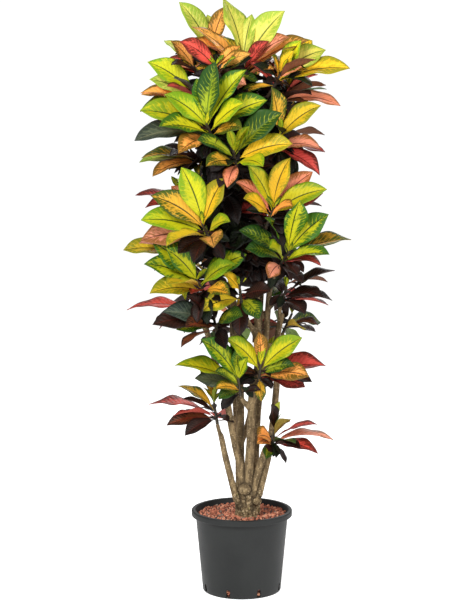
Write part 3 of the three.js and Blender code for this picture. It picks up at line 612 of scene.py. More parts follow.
@dataclass(frozen=True)
class LeafFinish(Finish):
    """A glossy, quilted leaf whose colours come from its own attributes.

    Attributes:
        veins: Number of side veins in a leaf's length.
        slant: How far a side vein runs forward on its way to the edge, as a share of the length.
        quilt: Height of the blade between its veins, in metres.
        rib_share, vein_share: How much of the rib's colour midrib and side veins show.
        vein_share_below, edge_share_below: How much of rib's and edge's colour the underside shows.
        roughness, uneven, dull: Least roughness, and what patches and the underside add to it.
        gloss: Strength of the blade's sheen.
    """

    veins: float = 14.0
    slant: float = 0.16
    quilt: float = 1.5 * MM
    rib_share: float = 0.95
    vein_share: float = 0.2
    vein_share_below: float = 0.3
    edge_share_below: float = 0.3
    roughness: float = 0.36
    uneven: float = 0.2
    dull: float = 0.2
    gloss: float = 0.2

    def paint(self, graph: Graph) -> dict[str, object]:
        """Paints heart, edge, veins and underside.

        Args:
            graph: The material's graph.

        Returns:
            What each input of the shader takes.
        """
        blade, side = graph.attribute("blade", "Vector"), graph.attribute("side")
        heart, border, ribs, under = (graph.attribute(name, "Color") for name in LEAF_COLOURS)
        spread = graph.attribute("spread")
        inputs = {"Blade": blade, "Veins": self.veins, "Slant": self.slant, "Spread": spread}
        rib, vein, edge, height = graph.add("ShaderNodeGroup", inputs, node_tree=vein_group()).outputs
        above = graph.lay(graph.mix(edge, heart, border), ribs, vein, self.vein_share)
        above = graph.lay(above, ribs, rib, self.rib_share)
        below = graph.lay(under, ribs, vein, self.vein_share_below)
        below = graph.lay(below, border, edge, self.edge_share_below)
        patches = graph.times(graph.noise(blade, 9.0, 2.0), self.uneven)
        rough = graph.plus(patches, graph.times(side, self.dull))
        return {
            "Base Color": graph.mix(side, above, below),
            "Roughness": graph.plus(rough, self.roughness),
            "Normal": graph.bump(height, 0.55, self.quilt),
            "Specular IOR Level": self.gloss,
        }


@dataclass(frozen=True)
class BarkFinish(Finish):
    """Grey-tan bark, speckled on the stump, with painted shade in the seams between limbs and on the upper
    wood under the leaves.

    Attributes:
        stump_top: Height of the stump, in metres.
        shade_over: Heights between which the wood darkens into the painted shade under the leaves, in
            metres.
        grain: Scales of clouds and grain.
        speck_size, lump_size: Size of specks and lumps, as a share of their spacing.
        relief: Height of the grain, in metres.
    """

    old: Colour = rgb(135, 115, 83)
    worn: Colour = rgb(87, 72, 50)
    speck: Colour = rgb(196, 173, 134)
    pit: Colour = rgb(66, 52, 36)
    # Painted shade: the dark colour laid in the seams between limbs.
    seam: Colour = rgb(46, 36, 24)
    # Painted shade: this dark colour stands for the shade that the leaves cast on the upper wood.
    young: Colour = rgb(52, 40, 31)
    moss: Colour = rgb(122, 122, 44)
    stump_top: float = 0.335
    shade_over: Pair = (0.86, 1.2)
    grain: Pair = (95.0, 420.0)
    speck_size: Pair = (0.16, 0.34)
    lump_size: Pair = (0.2, 0.5)
    relief: float = 1.2 * MM

    def paint(self, graph: Graph) -> dict[str, object]:
        """Paints wear, specks, pits and moss, painted shade in the seams, and painted shade on the wood
        under the leaves.

        Args:
            graph: The material's graph.

        Returns:
            What each input of the shader takes.
        """
        place = graph.place()
        height = graph.parts(place)[2]
        along_limbs = {"Vector": place, "Scale": (1.0, 1.0, 0.35)}
        drawn = graph.add("ShaderNodeMapping", along_limbs).outputs[0]
        cloud, grain = grain_on(graph, drawn, *self.grain)
        stump = graph.fall(height, self.stump_top - 0.02, self.stump_top + 0.02)
        specks = graph.spots(place, 130.0, self.speck_size)
        lumps = graph.times(graph.spots(place, 105.0, self.lump_size), stump)
        pits = graph.step(graph.noise(place, 120.0, 2.0), 0.54, 0.64)
        green = graph.times(graph.step(graph.noise(place, 70.0, 4.0), 0.66, 0.72), stump)

        tone = graph.lay(graph.mix(cloud, self.worn, self.old), self.speck, specks, 0.4)
        tone = graph.lay(tone, self.speck, lumps, 0.7)
        tone = graph.mix(graph.times(pits, graph.plus(graph.times(stump, 0.35), 0.4)), tone, self.pit)
        tone = graph.lay(tone, self.moss, green, 0.5)
        # Painted shade: higher up, the wood turns to a dark colour that stands for the shade under the
        # leaves.
        shaded_wood = graph.lay(self.young, self.worn, cloud, 0.4)
        tone = graph.mix(graph.step(height, *self.shade_over), tone, shaded_wood)
        raised = graph.times(graph.plus(specks, lumps), 0.6)
        return {
            # Painted shade: the seam mask lays a dark colour in the grooves between limbs.
            "Base Color": graph.lay(tone, self.seam, graph.attribute("seam"), 0.85),
            "Roughness": graph.plus(graph.times(specks, -0.1), 0.88),
            "Normal": graph.bump(graph.plus(grain, raised), 0.7, self.relief),
            "Specular IOR Level": 0.25,
        }


@dataclass(frozen=True)
class ShootFinish(Finish):
    """The soft green-brown skin of a young shoot, with the colour of its scars in its clouds."""

    skin: Colour = rgb(58, 50, 28)
    scar: Colour = rgb(34, 22, 16)
    grain: Pair = (110.0, 600.0)
    relief: float = 0.6 * MM

    def paint(self, graph: Graph) -> dict[str, object]:
        """Paints the skin and its leaf scars.

        Args:
            graph: The material's graph.

        Returns:
            What each input of the shader takes.
        """
        cloud, grain = grain_on(graph, graph.place(), *self.grain)
        return {
            "Base Color": graph.mix(cloud, self.scar, self.skin),
            "Roughness": graph.plus(grain, 0.1),
            "Normal": graph.bump(grain, 0.4, self.relief),
        }


@dataclass(frozen=True)
class GranuleFinish(Finish):
    """Porous red-brown lava. Each granule has its own tint from 0.03 to 1, and the fill below has 0 and is
    painted near black, as the shade in the gaps between granules.
    """

    red: Colour = rgb(204, 126, 96)
    brown: Colour = rgb(142, 82, 60)
    pale: Colour = rgb(222, 160, 128)
    grey: Colour = rgb(140, 130, 116)
    # Painted shade: the near-black colour of the fill, seen in the gaps between granules.
    gap_shade: Colour = rgb(40, 22, 16)
    grain: Pair = (180.0, 900.0)
    relief: float = 1.2 * MM

    def paint(self, graph: Graph) -> dict[str, object]:
        """Paints the granules by their tint, with pores.

        Args:
            graph: The material's graph.

        Returns:
            What each input of the shader takes.
        """
        tint = graph.attribute("tint")
        cloud, grain = grain_on(graph, graph.place(), *self.grain)
        tone = graph.mix(graph.step(tint, 0.1, 0.7), self.brown, self.red)
        tone = graph.mix(graph.step(tint, 0.72, 0.9), tone, self.pale)
        tone = graph.mix(graph.step(tint, 0.955, 0.965), tone, self.grey)
        # Painted shade: where the tint is 0, on the bare fill, the colour is the near-black gap shade.
        tone = graph.mix(graph.step(tint, 0.0, 0.02), self.gap_shade, tone)
        return {
            "Base Color": graph.lay(tone, self.brown, cloud, 0.35),
            "Roughness": graph.plus(graph.times(grain, 0.2), 0.8),
            "Normal": graph.bump(grain, 0.8, self.relief),
        }


@dataclass(frozen=True)
class PotFinish(Finish):
    """Moulded charcoal plastic with a faint bloom of dust, and painted shade in the band under the lip."""

    base: Colour = rgb(18, 20, 20)
    bloom: Colour = rgb(44, 46, 45)
    # Painted shade: a dark colour laid in the band under the lip, standing for the lip's shadow.
    painted_lip_shade: Colour = rgb(9, 9, 8)
    band: Pair = (0.222, 0.241)
    grain: Pair = (9.0, 1100.0)
    relief: float = 0.4 * MM

    def paint(self, graph: Graph) -> dict[str, object]:
        """Paints the moulded skin, its bloom and its fine grain.

        Args:
            graph: The material's graph.

        Returns:
            What each input of the shader takes.
        """
        place = graph.place()
        cloud, grain = grain_on(graph, place, *self.grain)
        flecks = graph.step(grain, 0.52, 0.72)
        dust = graph.plus(graph.times(cloud, 0.35), graph.times(flecks, 0.3))
        height = graph.parts(place)[2]
        # Painted shade: the band just under the lip is darkened as the lip's shadow.
        under_lip = graph.math("LESS_THAN", height, self.band[1])
        shaded = graph.times(graph.step(height, *self.band), under_lip)
        return {
            "Base Color": graph.lay(graph.mix(dust, self.base, self.bloom), self.painted_lip_shade, shaded, 0.7),
            "Roughness": graph.plus(graph.times(cloud, 0.12), 0.52),
            "Normal": graph.bump(grain, 0.25, self.relief),
            "Specular IOR Level": 0.32,
        }


@dataclass(frozen=True)
class FloorFinish(Finish):
    """An even white that glows a little, so that the floor meets its surroundings without an edge."""

    white: Colour = rgb(250, 250, 250)
    cloud: Colour = rgb(246, 246, 246)
    glow: float = 0.64

    def paint(self, graph: Graph) -> dict[str, object]:
        """Paints the floor.

        Args:
            graph: The material's graph.

        Returns:
            What each input of the shader takes.
        """
        return {
            "Base Color": graph.mix(graph.noise(graph.place(), 2.0), self.cloud, self.white),
            "Roughness": 0.9,
            "Emission Color": (1, 1, 1, 1),
            "Emission Strength": self.glow,
        }


class Mould:
    """Collects rings and faces of several closed shapes into one mesh."""

    def __init__(self) -> None:
        """Starts empty."""
        self.points: list[np.ndarray] = []
        self.faces: list[np.ndarray] = []
        self.caps: list[list[int]] = []
        self.count = 0

    def tube(self, rings: np.ndarray) -> None:
        """Adds a closed skin over rings of points, with flat ends.

        Args:
            rings: Points in the order ring, point and coordinate, in millimetres and counter-clockwise about
                the way forward.
        """
        steps, sides, _ = rings.shape
        start = self.count + np.arange(steps - 1)[:, None] * sides
        here = np.arange(sides)
        after = (here + 1) % sides
        quads = np.stack([start + here, start + after, start + after + sides, start + here + sides], axis=-1)
        self.points.append(rings.reshape(-1, 3) * MM)
        self.faces.append(quads.reshape(-1, 4))
        self.caps.append(list(range(self.count + sides - 1, self.count - 1, -1)))
        last = self.count + (steps - 1) * sides
        self.caps.append(list(range(last, last + sides)))
        self.count += steps * sides

    def mesh(self, name: str) -> bpy.types.Mesh:
        """Makes the mesh.

        Args:
            name: The mesh's name.

        Returns:
            A mesh of all shapes, the sides first and then the flat ends.
        """
        made = bpy.data.meshes.new(name)
        sides = np.concatenate(self.faces).tolist()
        made.from_pydata(np.concatenate(self.points).tolist(), [], sides + self.caps)
        made.shade_smooth()
        return made


def turned(radii: np.ndarray, heights: np.ndarray, sides: int, at: Pair = (0.0, 0.0)) -> np.ndarray:
    """Gives the rings of an upright round form.

    Args:
        radii: Radius of each ring as one column, or of each point of each ring.
        heights: Height of each ring, as one column.
        sides: Points of each ring.
        at: Where its middle stands.

    Returns:
        Points in the order ring, point and coordinate.
    """
    across = at[0] + radii * np.cos(circle(sides))
    back = at[1] + radii * np.sin(circle(sides))
    return np.stack([across, back, np.broadcast_to(heights, across.shape)], axis=-1)


def arc(centre: Pair, radius: float, turns: Pair, count: int) -> list[Pair]:
    """Gives points on an arc.

    Args:
        centre: The arc's centre.
        radius: Its radius.
        turns: Where it starts and ends, in radians.
        count: Number of points.

    Returns:
        The points.
    """
    x, z = centre
    return [(x + radius * math.cos(a), z + radius * math.sin(a)) for a in np.linspace(*turns, count)]


def store(mesh: bpy.types.Mesh, name: str, values: np.ndarray, domain: str = "POINT") -> None:
    """Gives a mesh an attribute.

    Args:
        mesh: The mesh.
        name: The attribute's name.
        values: A number, a vector or a colour for each place.
        domain: What a place is, POINT or FACE.
    """
    size = 1 if values.ndim == 1 else values.shape[1]
    kind, field = {1: ("FLOAT", "value"), 3: ("FLOAT_VECTOR", "vector"), 4: ("FLOAT_COLOR", "color")}[size]
    mesh.attributes.new(name, kind, domain).data.foreach_set(field, values.astype(np.float32).ravel())


def piece_of(mesh: bpy.types.Mesh, name: str) -> bpy.types.Object:
    """Puts a mesh in the scene as an object at the origin.

    Args:
        mesh: The mesh.
        name: The object's name.

    Returns:
        The object.
    """
    made = bpy.data.objects.new(name, mesh)
    bpy.context.scene.collection.objects.link(made)
    return made


def settled(piece: bpy.types.Object) -> bpy.types.Object:
    """Turns a piece's modifiers into its mesh.

    Args:
        piece: An object with live modifiers.

    Returns:
        The same object with a plain mesh and no modifiers.
    """
    graph = bpy.context.evaluated_depsgraph_get()
    found = piece.evaluated_get(graph)
    mesh = bpy.data.meshes.new_from_object(found, preserve_all_data_layers=True, depsgraph=graph)
    piece.modifiers.clear()
    piece.data = mesh
    return piece


def hand_over(piece: bpy.types.Object, node: str) -> None:
    """Gives a finished piece to the frame in place of a node.

    Args:
        piece: The finished piece.
        node: The node that it stands for.
    """
    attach(piece, BODY)
    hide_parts(node)
    LOG.info("%s: %d faces", piece.name, len(piece.data.polygons))


class Route:
    """A curve sampled finely enough to build on, in millimetres."""

    def __init__(self, points: np.ndarray, shares: np.ndarray) -> None:
        """Keeps places along the curve, and its parameter at each from 0 to 1."""
        self.points = points
        self.shares = shares

    @classmethod
    def through(cls, knots: Sequence[Point], fine: int = 12) -> "Route":
        """Makes a smooth curve through knots, spaced by the square roots of their distances.

        Args:
            knots: Points that the curve passes.
            fine: Parts between two knots.

        Returns:
            The route.
        """
        at = np.array(knots, float)
        ends = np.vstack([2 * at[0] - at[1], at, 2 * at[-1] - at[-2]])
        found = [at[0]]
        for i in range(len(at) - 1):
            first, start, stop, last = ends[i:i + 4]
            pairs = ((first, start), (start, stop), (stop, last))
            before, here, after = (math.sqrt(np.linalg.norm(b - a)) for a, b in pairs)
            leave = (start - first) / before - (stop - first) / (before + here) + (stop - start) / here
            reach = (stop - start) / here - (last - start) / (here + after) + (last - stop) / after
            leave, reach = leave * here, reach * here
            for t in np.linspace(0, 1, fine + 1)[1:]:
                found.append(start + leave * t + (3 * (stop - start) - 2 * leave - reach) * t ** 2
                             + (2 * (start - stop) + leave + reach) * t ** 3)
        return cls(np.array(found), np.linspace(0, 1, len(found)))

    @classmethod
    def bezier(cls, corners: Sequence[np.ndarray], steps: int = 16) -> "Route":
        """Makes a cubic curve from its four corners.

        Args:
            corners: Start, two handles and end.
            steps: Number of its parts.

        Returns:
            The route.
        """
        t = np.linspace(0, 1, steps + 1)[:, None]
        first, second, third, last = corners
        near = (1 - t) ** 3 * first + 3 * (1 - t) ** 2 * t * second
        return cls(near + 3 * (1 - t) * t ** 2 * third + t ** 3 * last, t[:, 0])

    def at_share(self, share: float) -> np.ndarray:
        """Gives the place at a share of the curve."""
        return np.array([np.interp(share, self.shares, self.points[:, i]) for i in range(3)])

    def tangents(self) -> np.ndarray:
        """Gives the direction at each sample."""
        return unit(np.gradient(self.points, axis=0))

    def at_height(self, height: float) -> tuple[np.ndarray, np.ndarray, float]:
        """Finds where the curve passes a height.

        Args:
            height: The height.

        Returns:
            The curve's place, direction and share there.
        """
        share = float(np.interp(height, self.points[:, 2], self.shares))
        way = np.array([np.interp(share, self.shares, self.tangents()[:, i]) for i in range(3)])
        return self.at_share(share), unit(way), share

    def rings(self, radii: np.ndarray, sides: int) -> np.ndarray:
        """Gives round rings about the curve.

        Args:
            radii: Radius at each sample.
            sides: Points of each ring.

        Returns:
            Points in the order ring, point and coordinate.
        """
        ahead = self.tangents()
        back = unit(np.cross(ahead, np.array([1.0, 0.0, 0.0])))
        across = np.cross(back, ahead)
        turn = circle(sides)[None, :, None]
        spokes = across[:, None] * np.cos(turn) + back[:, None] * np.sin(turn)
        return self.points[:, None] + spokes * radii[:, None, None]


class Draws:
    """Repeatable draws from 0 to 1, the same for a leaf whatever was made before it."""

    PER_HEAD = 64
    FACTOR = 1664525
    ADDED = 1013904223
    LIMIT = 2 ** 32

    def __init__(self, head: int, leaf: int) -> None:
        """Starts the draws of one leaf.

        Args:
            head: The head's place in the list.
            leaf: The leaf's place in its head.
        """
        self.state = head * self.PER_HEAD + leaf + 1
        self()
        self()

    def __call__(self) -> float:
        """Gives the next draw."""
        self.state = (self.FACTOR * self.state + self.ADDED) % self.LIMIT
        return self.state / self.LIMIT

    def about(self, middle: float, spread: float) -> float:
        """Gives a draw that is spread evenly about a middle."""
        return middle + spread * (self() - 0.5)

    def choice(self, tones: Sequence[Tone]) -> Tone:
        """Draws one of several tones."""
        return tones[int(self() * len(tones))]


@dataclass(frozen=True)
class Leaf:
    """A leaf's tone and the numbers of its form, in millimetres and radians.

    Attributes:
        down: How far below the shoot's tip its root is.
        turn, rise, reach: Heading, rise and length of the line from its root to its tip.
        bend: How much the midrib bends down from root to tip.
        fold, roll: How much each half is folded up, and the blade rolled to one side.
        phase: Where the waves of its edge start.
        to_front: How far its upper face turns to the front, where it isn't the usual one.
    """

    tone: Tone
    down: float
    turn: float
    rise: float
    reach: float
    bend: float
    width: float
    fold: float
    roll: float
    phase: float
    to_front: float | None = None

    @classmethod
    def along(cls, tone: Tone, down: float, line: np.ndarray, draw: Draws, width: float = 0.44,
              to_front: float | None = None) -> "Leaf":
        """Makes a leaf from the straight line between its root and tip.

        Args:
            tone: The kind of leaf.
            down: How far below the shoot's tip its root is.
            line: From root to tip.
            draw: The leaf's own draws.
            width: The blade's width as a share of that line.
            to_front: How far its upper face turns to the front, where it isn't the usual one.

        Returns:
            The leaf.
        """
        flat = math.hypot(line[0], line[1])
        reach = float(np.linalg.norm(line))
        return cls(
            tone, down, math.atan2(line[1], line[0]), math.atan2(line[2], flat), reach,
            bend=math.radians(18 + 22 * down / HeadPlan.SHOOT + 16 * draw()),
            width=width * reach * (0.9 + 0.2 * draw()),
            fold=math.radians(10 + 16 * draw()),
            roll=draw.about(0.0, 0.5),
            phase=6.28 * draw(),
            to_front=to_front,
        )


@dataclass(frozen=True)
class Blade:
    """The fine form of a leaf: a thin folded and waved blade on a round stalk.

    Attributes:
        steps: Rings from root to tip.
        columns: Points across each face.
        crowding: Power that crowds the rings towards the tip.
        stalk: Share of the length that is stalk.
        stalk_radius: Radius of the stalk.
        into_blade: Half width that the stalk gains before it is a flat blade.
        belly: Power that moves the widest place towards the tip.
        fullness: Power of the outline at its root, and what the tip has more.
        half_thickness, thinning: Half the thickness at the midrib, and the share lost at the edge.
        swell: Height of each half's bulge as a share of its width.
        groove, keel: Depth and half width, as a share, of the midrib's groove above and keel below.
        keel_taper: Share of the keel that is lost at the tip.
        wave: Height of the edge's waves as a share of the half width.
        waves: Turns of the long and the short waves in a leaf's length, in radians.
        short_wave: Height of the short waves against the long ones.
    """

    steps: int = 24
    columns: int = 11
    crowding: float = 0.92
    stalk: float = 0.12
    stalk_radius: float = 1.3
    into_blade: float = 6.0
    belly: float = 1.2
    fullness: Pair = (0.7, 0.3)
    half_thickness: float = 0.42
    thinning: float = 0.55
    swell: float = 0.05
    groove: Pair = (0.35, 0.09)
    keel: Pair = (0.8, 0.1)
    keel_taper: float = 0.7
    wave: float = 0.13
    waves: Pair = (7.0, 19.0)
    short_wave: float = 0.4

    def spine(self, leaf: Leaf, root: np.ndarray, shift: Point, shares: np.ndarray) -> tuple:
        """Gives the midrib's places and directions.

        Args:
            leaf: The leaf.
            root: Where it leaves the wood.
            shift: Degrees of swing and lift, and the share of its size that it keeps.
            shares: Shares of the length to give.

        Returns:
            Places and directions.
        """
        swing, lift, size = shift
        start = leaf.rise + math.radians(lift) + leaf.bend / 2
        length = leaf.reach * size * (leaf.bend / 2) / math.sin(leaf.bend / 2)
        ahead = heading(leaf.turn + math.radians(swing))
        up = np.array([0.0, 0.0, 1.0])
        slope = start - leaf.bend * shares
        out = length * (math.sin(start) - np.sin(slope)) / leaf.bend
        rise = length * (np.cos(slope) - math.cos(start)) / leaf.bend
        places = root + out[:, None] * ahead + rise[:, None] * up
        return places, np.cos(slope)[:, None] * ahead + np.sin(slope)[:, None] * up

    def half_widths(self, leaf: Leaf, size: float, shares: np.ndarray) -> np.ndarray:
        """Gives half the leaf's width along it, stalk and blade.

        Args:
            leaf: The leaf.
            size: The share of its size that it keeps.
            shares: Shares of the length to give.

        Returns:
            The half widths.
        """
        run = np.clip((shares - self.stalk) / (1 - self.stalk), 0, 1)
        power = self.fullness[0] + self.fullness[1] * run
        blade = 0.5 * leaf.width * size * np.abs(np.sin(math.pi * run ** self.belly)) ** power
        return np.maximum(blade, self.stalk_radius * np.clip(1.6 - run * 1.6, 0.08, 1))

    def columns_across(self) -> np.ndarray:
        """Gives the columns from the left edge to the right, 1 to -1, closest together at the edges."""
        even = np.linspace(1, -1, self.columns)
        return (0.35 * np.cos(np.linspace(0, math.pi, self.columns)) + 0.65 * even)[None]

    def rings(self, leaf: Leaf, root: np.ndarray, facing: np.ndarray, shift: Point) -> tuple:
        """Gives the leaf's rings and the values that its finish reads.

        Args:
            leaf: The leaf.
            root: Where it leaves the wood.
            facing: The way that its upper face looks.
            shift: Degrees of swing and lift, and the share of its size that it keeps.

        Returns:
            Rings, the place across and along at each point, and whether the point is on the underside.
        """
        shares = np.linspace(0, 1, self.steps) ** self.crowding
        places, ways = self.spine(leaf, root, shift, shares)
        above = unit(facing[None] - (ways @ facing)[:, None] * ways)
        left = np.cross(above, ways)
        wide = self.half_widths(leaf, shift[2], shares)[:, None]
        flat = np.clip((wide - self.stalk_radius) / self.into_blade, 0, 1)
        along, across = shares[:, None], self.columns_across()
        off, hand = np.abs(across), np.sign(across)

        long_wave = np.sin(self.waves[0] * along + leaf.phase + 1.3 * hand)
        ripple = long_wave + self.short_wave * np.sin(self.waves[1] * along + 2 * leaf.phase + 2 * hand)
        fold = wide * math.sin(leaf.fold) * (np.sqrt(off ** 2 + 0.012) - 0.11)
        swell = self.swell * wide * np.sin(math.pi * off)
        groove = self.groove[0] * np.exp(-(off / self.groove[1]) ** 2)
        lift = flat * (fold + wide * self.wave * ripple * off ** 1.7 + swell - groove)
        side = across * wide * (flat * math.cos(leaf.fold) + 1 - flat)

        round_off = self.stalk_radius * np.sqrt(np.maximum(1 - off ** 2, 0.02))
        thick = flat * self.half_thickness * (1 - self.thinning * off) + (1 - flat) * round_off
        keel = flat * self.keel[0] * np.exp(-(off / self.keel[1]) ** 2) * (1 - self.keel_taper * along)
        middle = places[:, None] + left[:, None] * side[..., None]
        top = middle + above[:, None] * (lift + thick)[..., None]
        under = middle + above[:, None] * (lift - thick - keel)[..., None]
        rings = np.concatenate([top, under[:, ::-1]], axis=1)
        below = np.zeros(rings.shape[:2])
        below[:, self.columns:] = 1
        across = np.concatenate([across, across[:, ::-1]], axis=1)
        return rings, np.broadcast_to(across, below.shape), np.broadcast_to(along, below.shape), below


@dataclass(frozen=True)
class Head:
    """A leafy head: its plan, its place in the list and its branch, with the rules for its leaves.

    Attributes:
        FIRST_MORE, FIRST_LOOSE: Numbers of the first further and the first loose leaf's draws.
        BACK_FROM: Depth of a crown from which its leaves don't turn to the front.
        TURN_TO_FRONT, TURN_IF_STEEP: How far the others turn there, and what an upright one turns more.
        TURN_BELOW_EYE, BELOW_EYE: How far they turn on a low head, and the height that makes it low.
        LOOK_BACK: How far an upper face looks back to the shoot.
        LEVEL_ROOT, RISE_TO_TOP, ROOTS: Where on the shoot a level leaf's root is, from its tip, the rise
            that would take it all the way up, and the roots' bounds.
        GOLDEN: Turn from one further leaf to the next, in degrees.
        RISES, REACHES: Rise and reach of the oldest, what the youngest has more, and what a draw adds.
        MORE_ROOTS: Where the oldest one's root is, and what the youngest has more.
    """

    plan: HeadPlan
    index: int
    branch: Route

    FIRST_MORE = 32
    FIRST_LOOSE = 64
    BACK_FROM = 100.0
    TURN_TO_FRONT = 0.4
    TURN_IF_STEEP = 0.9
    TURN_BELOW_EYE = 0.1
    BELOW_EYE = 650.0
    LOOK_BACK = 0.35
    LEVEL_ROOT = 0.62
    RISE_TO_TOP = 130.0
    ROOTS = (0.06, 0.8)
    GOLDEN = 137.5
    RISES = (-38, 95, 14)
    REACHES = (160, -35, 24)
    MORE_ROOTS = (0.8, -0.7)

    def facing(self, leaf: Leaf, swing: float) -> np.ndarray:
        """Gives the way that a leaf's upper face looks.

        Args:
            leaf: The leaf.
            swing: Degrees that it swings aside.

        Returns:
            The direction, not of length one.
        """
        ahead = heading(leaf.turn + math.radians(swing))
        beside = np.array([-ahead[1], ahead[0], 0.0])
        found = self.plan.axis - self.LOOK_BACK * ahead + leaf.roll * beside
        if leaf.to_front is not None:
            found[1] -= leaf.to_front
        elif self.plan.crown[2] < self.BELOW_EYE and self.plan.crown[1] < self.BACK_FROM:
            found[1] -= self.TURN_BELOW_EYE
        elif self.plan.crown[1] < self.BACK_FROM:
            found[1] -= self.TURN_TO_FRONT + self.TURN_IF_STEEP * max(0.0, math.sin(leaf.rise))
        return found

    def on_show(self, leaves: Sequence[Shown], first: int = 0) -> Iterator[Leaf]:
        """Gives the leaves that are placed by their tips. The steeper a leaf, the higher is its root.

        Args:
            leaves: Each leaf's tone, its tip from the crown and how far it turns to the front.
            first: Number of the first leaf's draws.

        Yields:
            Each leaf.
        """
        for i, (tone, x, y, z, *to_front) in enumerate(leaves, first):
            rise = math.degrees(math.atan2(z, math.hypot(x, y)))
            share = min(max(self.LEVEL_ROOT - rise / self.RISE_TO_TOP, self.ROOTS[0]), self.ROOTS[1])
            down = self.plan.SHOOT * share
            line = np.array([x, y, z]) + self.plan.axis * down
            draw = Draws(self.index, i)
            yield Leaf.along(Tone[tone.upper()], down, line, draw, to_front=(*to_front, None)[0])

    def further(self) -> Iterator[Leaf]:
        """Gives the further leaves, from the oldest and lowest to the youngest and highest.

        Yields:
            Each leaf. Where leaves are on show, these are the older half and stay at the back.
        """
        plan = self.plan
        youngest, spread = (0.5, 75) if plan.shown else (1.0, 180)
        for i in range(plan.more):
            draw = Draws(self.index, self.FIRST_MORE + i)
            age = youngest * (i + 0.5) / plan.more
            tone = draw.choice(OLD_TONES if age < 0.5 else YOUNG_TONES)
            turn = 90 + spread * (2 * ((self.GOLDEN / 360 * i + 0.5) % 1) - 1)
            turn = math.radians(draw.about(turn, 30))
            rise, reach = (draw.about(oldest_has + more * age, strays)
                           for oldest_has, more, strays in (self.RISES, self.REACHES))
            down = plan.SHOOT * (self.MORE_ROOTS[0] + self.MORE_ROOTS[1] * age)
            yield Leaf.along(tone, down, reach * heading(turn, math.radians(rise)), draw)

    def leaves(self) -> Iterator[Leaf]:
        """Gives the leaves that the model has too, the shown ones first."""
        yield from self.on_show(self.plan.shown)
        yield from self.further()


class Foliage:
    """Collects a head's leaves with the values that their finish reads, and makes one piece of them.

    Attributes:
        SPREAD: How far the spread of the edge's colour differs between leaves of a tone.
        LIGHT, WARM: Least light and warmth of a leaf, and how far each differs between leaves.
        PAINTED_TOP_LIGHT, PAINTED_TOP_LIGHT_FROM, PAINTED_TOP_LIGHT_OVER: How much lighter the highest
        leaves are, as painted light on the plant's top, and where it starts.
    """

    SPREAD = 0.24
    LIGHT = (0.86, 0.28)
    WARM = (0.92, 0.2)
    PAINTED_TOP_LIGHT_FROM = 1350.0
    PAINTED_TOP_LIGHT_OVER = 300.0
    PAINTED_TOP_LIGHT = 0.32

    def __init__(self, head: Head) -> None:
        """Starts without leaves for a head."""
        self.head = head
        self.mould = Mould()
        self.values = {name: [] for name in ("blade", "side", "spread", *LEAF_COLOURS)}

    def add(self, blade: Blade, leaf: Leaf, root: np.ndarray, shift: Point = AS_PLANNED) -> None:
        """Adds a leaf.

        Args:
            blade: Its fine form.
            leaf: The leaf.
            root: Where it leaves the wood, in millimetres.
            shift: Degrees of swing and lift, and the share of its size that it keeps.
        """
        facing = self.head.facing(leaf, shift[0])
        rings, across, along, below = blade.rings(leaf, root, facing, shift)
        self.mould.tube(rings)
        seed = (leaf.phase * 7.3 + leaf.turn) % 1.0
        place = np.stack([across, along, np.full(across.shape, seed)], axis=-1)
        self.values["blade"].append(place.reshape(-1, 3))
        self.values["side"].append(below.ravel())
        spread = leaf.tone.value.spread + self.SPREAD * (seed - 0.5)
        self.values["spread"].append(np.full(below.size, spread))
        # Painted light: leaves rooted higher are made lighter, standing for the stronger light on the
        # plant's top; the rest of each leaf's light and warmth differs at random.
        height = min(max((root[2] - self.PAINTED_TOP_LIGHT_FROM) / self.PAINTED_TOP_LIGHT_OVER, 0.0), 1.0)
        light = self.LIGHT[0] + self.LIGHT[1] * ((leaf.phase * 3.7) % 1.0) + self.PAINTED_TOP_LIGHT * height
        warm = self.WARM[0] + self.WARM[1] * ((leaf.phase * 5.9) % 1.0)
        shade = np.array([light * warm, light, light / warm, 1.0])
        for name in LEAF_COLOURS:
            colour = np.array(getattr(leaf.tone.value, name)) * shade
            self.values[name].append(np.tile(np.clip(colour, 0, 1), (below.size, 1)))

    def piece(self, name: str, finish: Finish) -> bpy.types.Object:
        """Makes the leaves one piece.

        Args:
            name: The piece's name.
            finish: The leaves' finish.

        Returns:
            The piece.
        """
        mesh = self.mould.mesh(name)
        for label, values in self.values.items():
            store(mesh, label, np.concatenate(values))
        mesh.materials.append(finish.material)
        return piece_of(mesh, name)


@dataclass(frozen=True)
class Tuft:
    """A set of plain leaves round a head's shoot.

    Attributes:
        count: Number of leaves.
        seed: What sets its draws apart from those of other sets.
        down: Nearest and furthest root from the shoot's tip, in millimetres.
        turn: First heading and how far the headings spread, in degrees.
        rise, reach: Least and greatest rise in degrees, and length in millimetres.
        width: The blade's width as a share of its length.
        tones: The kinds of leaf.
        EACH, LOOSE: Share of the headings from one leaf to the next, and by which one strays.
    """

    count: int
    seed: int
    down: Pair
    turn: Pair
    rise: Pair
    reach: Pair
    width: float
    tones: tuple[Tone, ...]

    EACH = 0.618
    LOOSE = 0.3

    def grow(self, foliage: Foliage, blade: Blade) -> None:
        """Adds the set's leaves to a head.

        Args:
            foliage: The head's leaves.
            blade: The form of the new ones.
        """
        head = foliage.head
        for i in range(self.count):
            draw = Draws(head.index + self.seed, i)
            ranges = (self.down, self.rise, self.reach)
            down, rise, reach = (low + (high - low) * draw() for low, high in ranges)
            turn = self.turn[0] + self.turn[1] * ((self.EACH * i + self.LOOSE * draw()) % 1.0)
            line = reach * heading(math.radians(turn), math.radians(rise))
            leaf = Leaf.along(draw.choice(self.tones), down, line, draw, self.width)
            foliage.add(blade, leaf, head.plan.below_tip(down))


